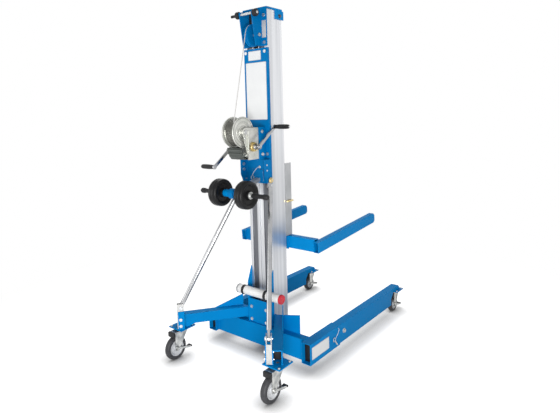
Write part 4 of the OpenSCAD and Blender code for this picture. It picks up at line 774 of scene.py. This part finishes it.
for i in range(hole_count):
    turn = 2 * math.pi * (i + 0.3) / hole_count
    hole_y = shaft_y + hole_circle_r * math.cos(turn)
    hole_z = shaft_z + hole_circle_r * math.sin(turn)
    add_turned(brake_holes, hole_outline, behind_mast(0, hole_y, hole_z), steps=12)
finished("brake_holes", brake_holes, black_rubber, "crank")
crank_nuts = bmesh.new()
for way, nut_x, nut_r in ((1, 0.0762, 0.0115), (-1, -0.1021, 0.0105), (1, 0.1021, 0.0105)):
    add_bolt(crank_nuts, behind_mast(nut_x, shaft_y, shaft_z), (way, 0, 0), nut_r)
finished("crank_nuts", crank_nuts, chrome, "crank")
grip_start = 0.104
grip_outline = [(0.088, 0), (0.088, 0.0066), (0, 0.0066), (0, 0.0098), (0.002, 0.0110),
                (0.006, 0.0113), (0.009, 0.0108), (0.014, 0.0116), (0.030, 0.0127),
                (0.050, 0.0130), (0.070, 0.0127), (0.084, 0.0118), (0.090, 0.0100),
                (0.0935, 0.0070), (0.094, 0.0035), (0.094, 0)]
button_outline = [(0.1972, 0), (0.1972, 0.0064), (0.1984, 0.0062), (0.1992, 0.0048),
                  (0.1996, 0.0025), (0.1996, 0)]
for side_name, way, grip_y, grip_z in (("right", 1, 0.0296, 1.3159),
                                       ("left", -1, -0.2536, 1.1101)):
    grip_node = side_name + "_crank_grip"
    grip = bmesh.new()
    add_turned(grip, [(way * (grip_start + along), radius) for along, radius in grip_outline],
               behind_mast(0, grip_y, grip_z), steps=32)
    grip = finished(grip_node + "_sleeve", grip, black_rubber, grip_node,
                    crease=50)
    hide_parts(grip_node)
    button = bmesh.new()
    add_turned(button, [(way * along, radius) for along, radius in button_outline],
               behind_mast(0, grip_y, grip_z), steps=24)
    finished(grip_node + "_button", button, pale_nylon, grip_node)

# Lift cable: stranded steel wire rope. Its outer layer lies on the drum, and it runs up over the
# top sheave, down inside the columns, round two small pulleys and down to the carriage.
cable_d, rope_lay, strands = 0.0048, 0.034, 6
band_w = 0.6283


def strand_finish(name, tones):
    """Twisted strands on a rope's own map: dark between the strands, bright on their crowns.
    One band of the wave is band_w wide, so the map's scale makes it one strand."""
    finish = bpy.data.materials.new(name)
    finish.use_nodes = True
    tree = finish.node_tree
    make, join = tree.nodes.new, tree.links.new
    shader = tree.nodes["Principled BSDF"]
    shader.inputs["Metallic"].default_value = 0.8
    shader.inputs["Roughness"].default_value = 0.42
    place, twist, tone, bump = (make("ShaderNode" + kind)
                                for kind in ("Mapping", "TexWave", "Mix", "Bump"))
    place.inputs["Scale"].default_value = (band_w, band_w * strands, 0)
    twist.bands_direction = "DIAGONAL"
    twist.inputs["Scale"].default_value = 1
    twist.inputs["Distortion"].default_value = 0
    tone.data_type = "RGBA"
    tone.inputs["A"].default_value = (*tones[0], 1)
    tone.inputs["B"].default_value = (*tones[1], 1)
    bump.inputs["Distance"].default_value = 0.0006
    join(make("ShaderNodeTexCoord").outputs["UV"], place.inputs["Vector"])
    join(place.outputs["Vector"], twist.inputs["Vector"])
    join(twist.outputs["Fac"], tone.inputs["Factor"])
    join(tone.outputs["Result"], shader.inputs["Base Color"])
    join(twist.outputs["Fac"], bump.inputs["Height"])
    join(bump.outputs["Normal"], shader.inputs["Normal"])
    return finish


def rope(name, points, finish):
    """A mesh tube along the points, whose map counts strands along it."""
    line = wire(name + "_line", points, cable_d, finish)
    bpy.context.view_layer.update()
    graph = bpy.context.evaluated_depsgraph_get()
    mesh = bpy.data.meshes.new_from_object(line.evaluated_get(graph))
    bpy.data.objects.remove(line)
    length = sum((b - a).length for a, b in zip(points, points[1:]))
    for corner in mesh.uv_layers.active.data:
        corner.uv.x *= strands * length / rope_lay
    mesh.name = name
    mesh.materials.clear()
    mesh.materials.append(finish)
    piece = bpy.data.objects.new(name, mesh)
    bpy.context.scene.collection.objects.link(piece)
    return piece


def round_pulley(y, z, radius, start, sweep=math.pi, steps=12):
    """Points round a pulley from the start angle, clockwise seen from the right."""
    return [behind_mast(0, y + radius * math.cos(a), z + radius * math.sin(a))
            for a in (start - sweep * i / steps for i in range(steps + 1))]


wound_rope = strand_finish("wound_rope", ((0.05, 0.05, 0.045), (0.26, 0.26, 0.23)))
wire_rope = strand_finish("wire_rope", ((0.46, 0.45, 0.44), (0.84, 0.83, 0.81)))
wind_r, wind_loops, wind_rings = 0.072, 10, 24
wind_pitch = cable_d + 0.0006
wind_end = wind_loops * wind_pitch / 2
sheave_y, sheave_z, sheave_r = -0.024, 1.814, 0.057
reach_y, reach_z = sheave_y - drum_y, sheave_z - drum_z
lean = (math.atan2(reach_y, reach_z)
        + math.asin((wind_r - sheave_r) / math.hypot(reach_y, reach_z)))
rise = Vector((0, math.sin(lean), math.cos(lean)))
turns = [i / wind_rings - wind_loops for i in range(wind_loops * wind_rings + 1)]
turns = [(wind_end + wind_pitch * turn, lean + 2 * math.pi * turn) for turn in turns]
turns = [behind_mast(x, drum_y - wind_r * math.cos(a), drum_z + wind_r * math.sin(a))
         for x, a in turns]
wind_tail, lead_start = 0.032, 0.0323
winding = rope("cable_outer_layer",
               [turns[0] - rise * cable_d, *turns, turns[-1] + rise * wind_tail], wound_rope)
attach(winding, "winch_drum")
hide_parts("cable_winding")
lead = turns[-1] + rise * lead_start
over_sheave = round_pulley(sheave_y, sheave_z, sheave_r, math.pi - lean, math.pi - lean)
climb = [lead.lerp(over_sheave[0], share) for share in (0, 0.33, 0.67)]
lead_run = rope("cable_to_sheave", [*climb, *over_sheave], wire_rope)
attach(lead_run, "base")
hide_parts("lift_cable")
down_y, up_y, fall_y = 0.033, 0.087, 0.141
pulley_r, foot_z, head_z = 0.027, 0.115, 1.912
down_rings, up_rings, fall_rings = 40, 12, 30
down_start, down_end = behind_mast(0, down_y, sheave_z), behind_mast(0, down_y, foot_z)
down_run = rope("cable_down_inside",
                [down_start.lerp(down_end, i / down_rings) for i in range(down_rings + 1)],
                wire_rope)
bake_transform(down_run)
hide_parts("cable_down_run")
climb = [behind_mast(0, up_y, foot_z + (head_z - foot_z) * i / up_rings)
         for i in range(1, up_rings)]
up_run = rope("cable_up_inside",
              [*reversed(round_pulley(down_y + pulley_r, foot_z, pulley_r, 0)), *climb,
               *round_pulley(up_y + pulley_r, head_z, pulley_r, math.pi)], wire_rope)
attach(up_run, "lift_column")
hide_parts("cable_up_run")
carriage_top = 1.101
fall_start, fall_end = behind_mast(0, fall_y, head_z), behind_mast(0, fall_y, carriage_top)
fall_run = rope("cable_fall_inside",
                [fall_start.lerp(fall_end, i / fall_rings) for i in range(fall_rings + 1)],
                wire_rope)
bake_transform(fall_run)
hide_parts("cable_fall")

# Transport wheels: two solid black rubber wheels and two knobbed grips on one rod, carried by a
# zinc plated bar between a blue plate on the lower bracket and a blue ring, for loading edges.
tread_rubber = surface("tread_rubber", ((0.003, 0.003, 0.0035), (0.006, 0.006, 0.0065)),
                       0.0, (0.34, 0.50), 50, 450, 0.00012, shine=0.22)
dress(pale_zinc, "transport_arm")
dress(blue_enamel, "transport_axle")
roll_y, roll_z = -0.219, 0.969
roll_centre = behind_mast(0, roll_y, roll_z)
roll_x, roll_nut_x, roll_nut_r = 0.094, 0.1243, 0.0150
roll_outline = both_ways([(0.030, 0.0105), (0.030, 0.0235), (0.0275, 0.0250), (0.0165, 0.0265),
                          (0.0155, 0.0300), (0.0165, 0.0480), (0.0260, 0.0560), (0.0295, 0.0610),
                          (0.0290, 0.0655), (0.0255, 0.0705), (0.0200, 0.0738), (0.0120, 0.0750),
                          (0.0105, 0.0735), (0.0085, 0.0735), (0.0070, 0.0750), (0, 0.0750)])
arm_plate_half, arm_plate_back, arm_plate_front = 0.0403, -0.0142, -0.0081
arm_plate_low, arm_plate_top = 1.0117, 1.0783
arm_mount = bmesh.new()
add_block(arm_mount, behind_mast(-arm_plate_half, arm_plate_back, arm_plate_low),
          behind_mast(arm_plate_half, arm_plate_front, arm_plate_top), 0.0012)
add_turned(arm_mount, both_ways([(0.0166, 0.0202), (0.0166, 0.0262), (0.0155, 0.0277)]),
           roll_centre, steps=48)
# The mount takes the darker blue, which is painted shade.
finished("transport_arm_mount", arm_mount, painted_shade_enamel, "base")
rib_count, rib_start, rib_pitch = 8, 0.150, 0.0072
rib_outline = ((0, 0.0112), (0.0016, 0.0120), (0.0040, 0.0120), (0.0056, 0.0112))
hand_outline = [(0.2422, 0), (0.2422, 0.0103), (0.1372, 0.0103), (0.1372, 0.0126),
                (0.147, 0.0126)]
hand_outline += [(rib_start + rib_pitch * i + along, radius)
                 for i in range(rib_count) for along, radius in rib_outline]
hand_outline += [(0.209, 0.0118), (0.2125, 0.0138), (0.216, 0.0147), (0.232, 0.0147),
                 (0.2365, 0.0138), (0.2405, 0.0112), (0.2432, 0.0070), (0.2432, 0)]
wheel_nuts, hand_grips = bmesh.new(), bmesh.new()
for side_name, side in (("left", -1), ("right", 1)):
    roll_node = side_name + "_transport_wheel"
    roll = bmesh.new()
    add_turned(roll, roll_outline, behind_mast(side * roll_x, roll_y, roll_z), steps=64)
    roll = finished(roll_node + "_rubber", roll, tread_rubber, roll_node,
                    crease=40)
    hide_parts(roll_node)
    add_bolt(wheel_nuts, behind_mast(side * roll_nut_x, roll_y, roll_z), (side, 0, 0), roll_nut_r)
    add_turned(hand_grips, [(side * along, radius) for along, radius in hand_outline],
               roll_centre, steps=32)
finished("transport_wheel_nuts", wheel_nuts, bright_zinc, "base")
hand_grips = finished("transport_hand_grips", hand_grips, black_rubber, "base")
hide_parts("transport_grips")

# Carriage and forks: a grey steel channel that runs in the front column, with a post into which
# the welded blue fork frame hooks, held by a yellow zinc pin with a handle.
carriage_grey = surface("carriage_grey", ((0.44, 0.45, 0.46), (0.37, 0.38, 0.39)),
                        0.3, (0.36, 0.5), 12, 400, 0.0001, edge=0.0015)
dress(carriage_grey, "carriage")
dress(blue_enamel, "fork_frame")
dress(yellow_zinc, "fork_pin")
fork_weld_x, fork_weld_low, fork_weld_top = 0.2572, 0.601, 0.664
fork_welds = bmesh.new()
for side in (-1, 1):
    for weld_y in (0.1615, 0.2025):
        add_bead(fork_welds, *(behind_mast(side * fork_weld_x, weld_y, weld_z)
                               for weld_z in (fork_weld_low, fork_weld_top)))
finished("fork_welds", fork_welds, blue_enamel, "lift_carriage", crease=80)
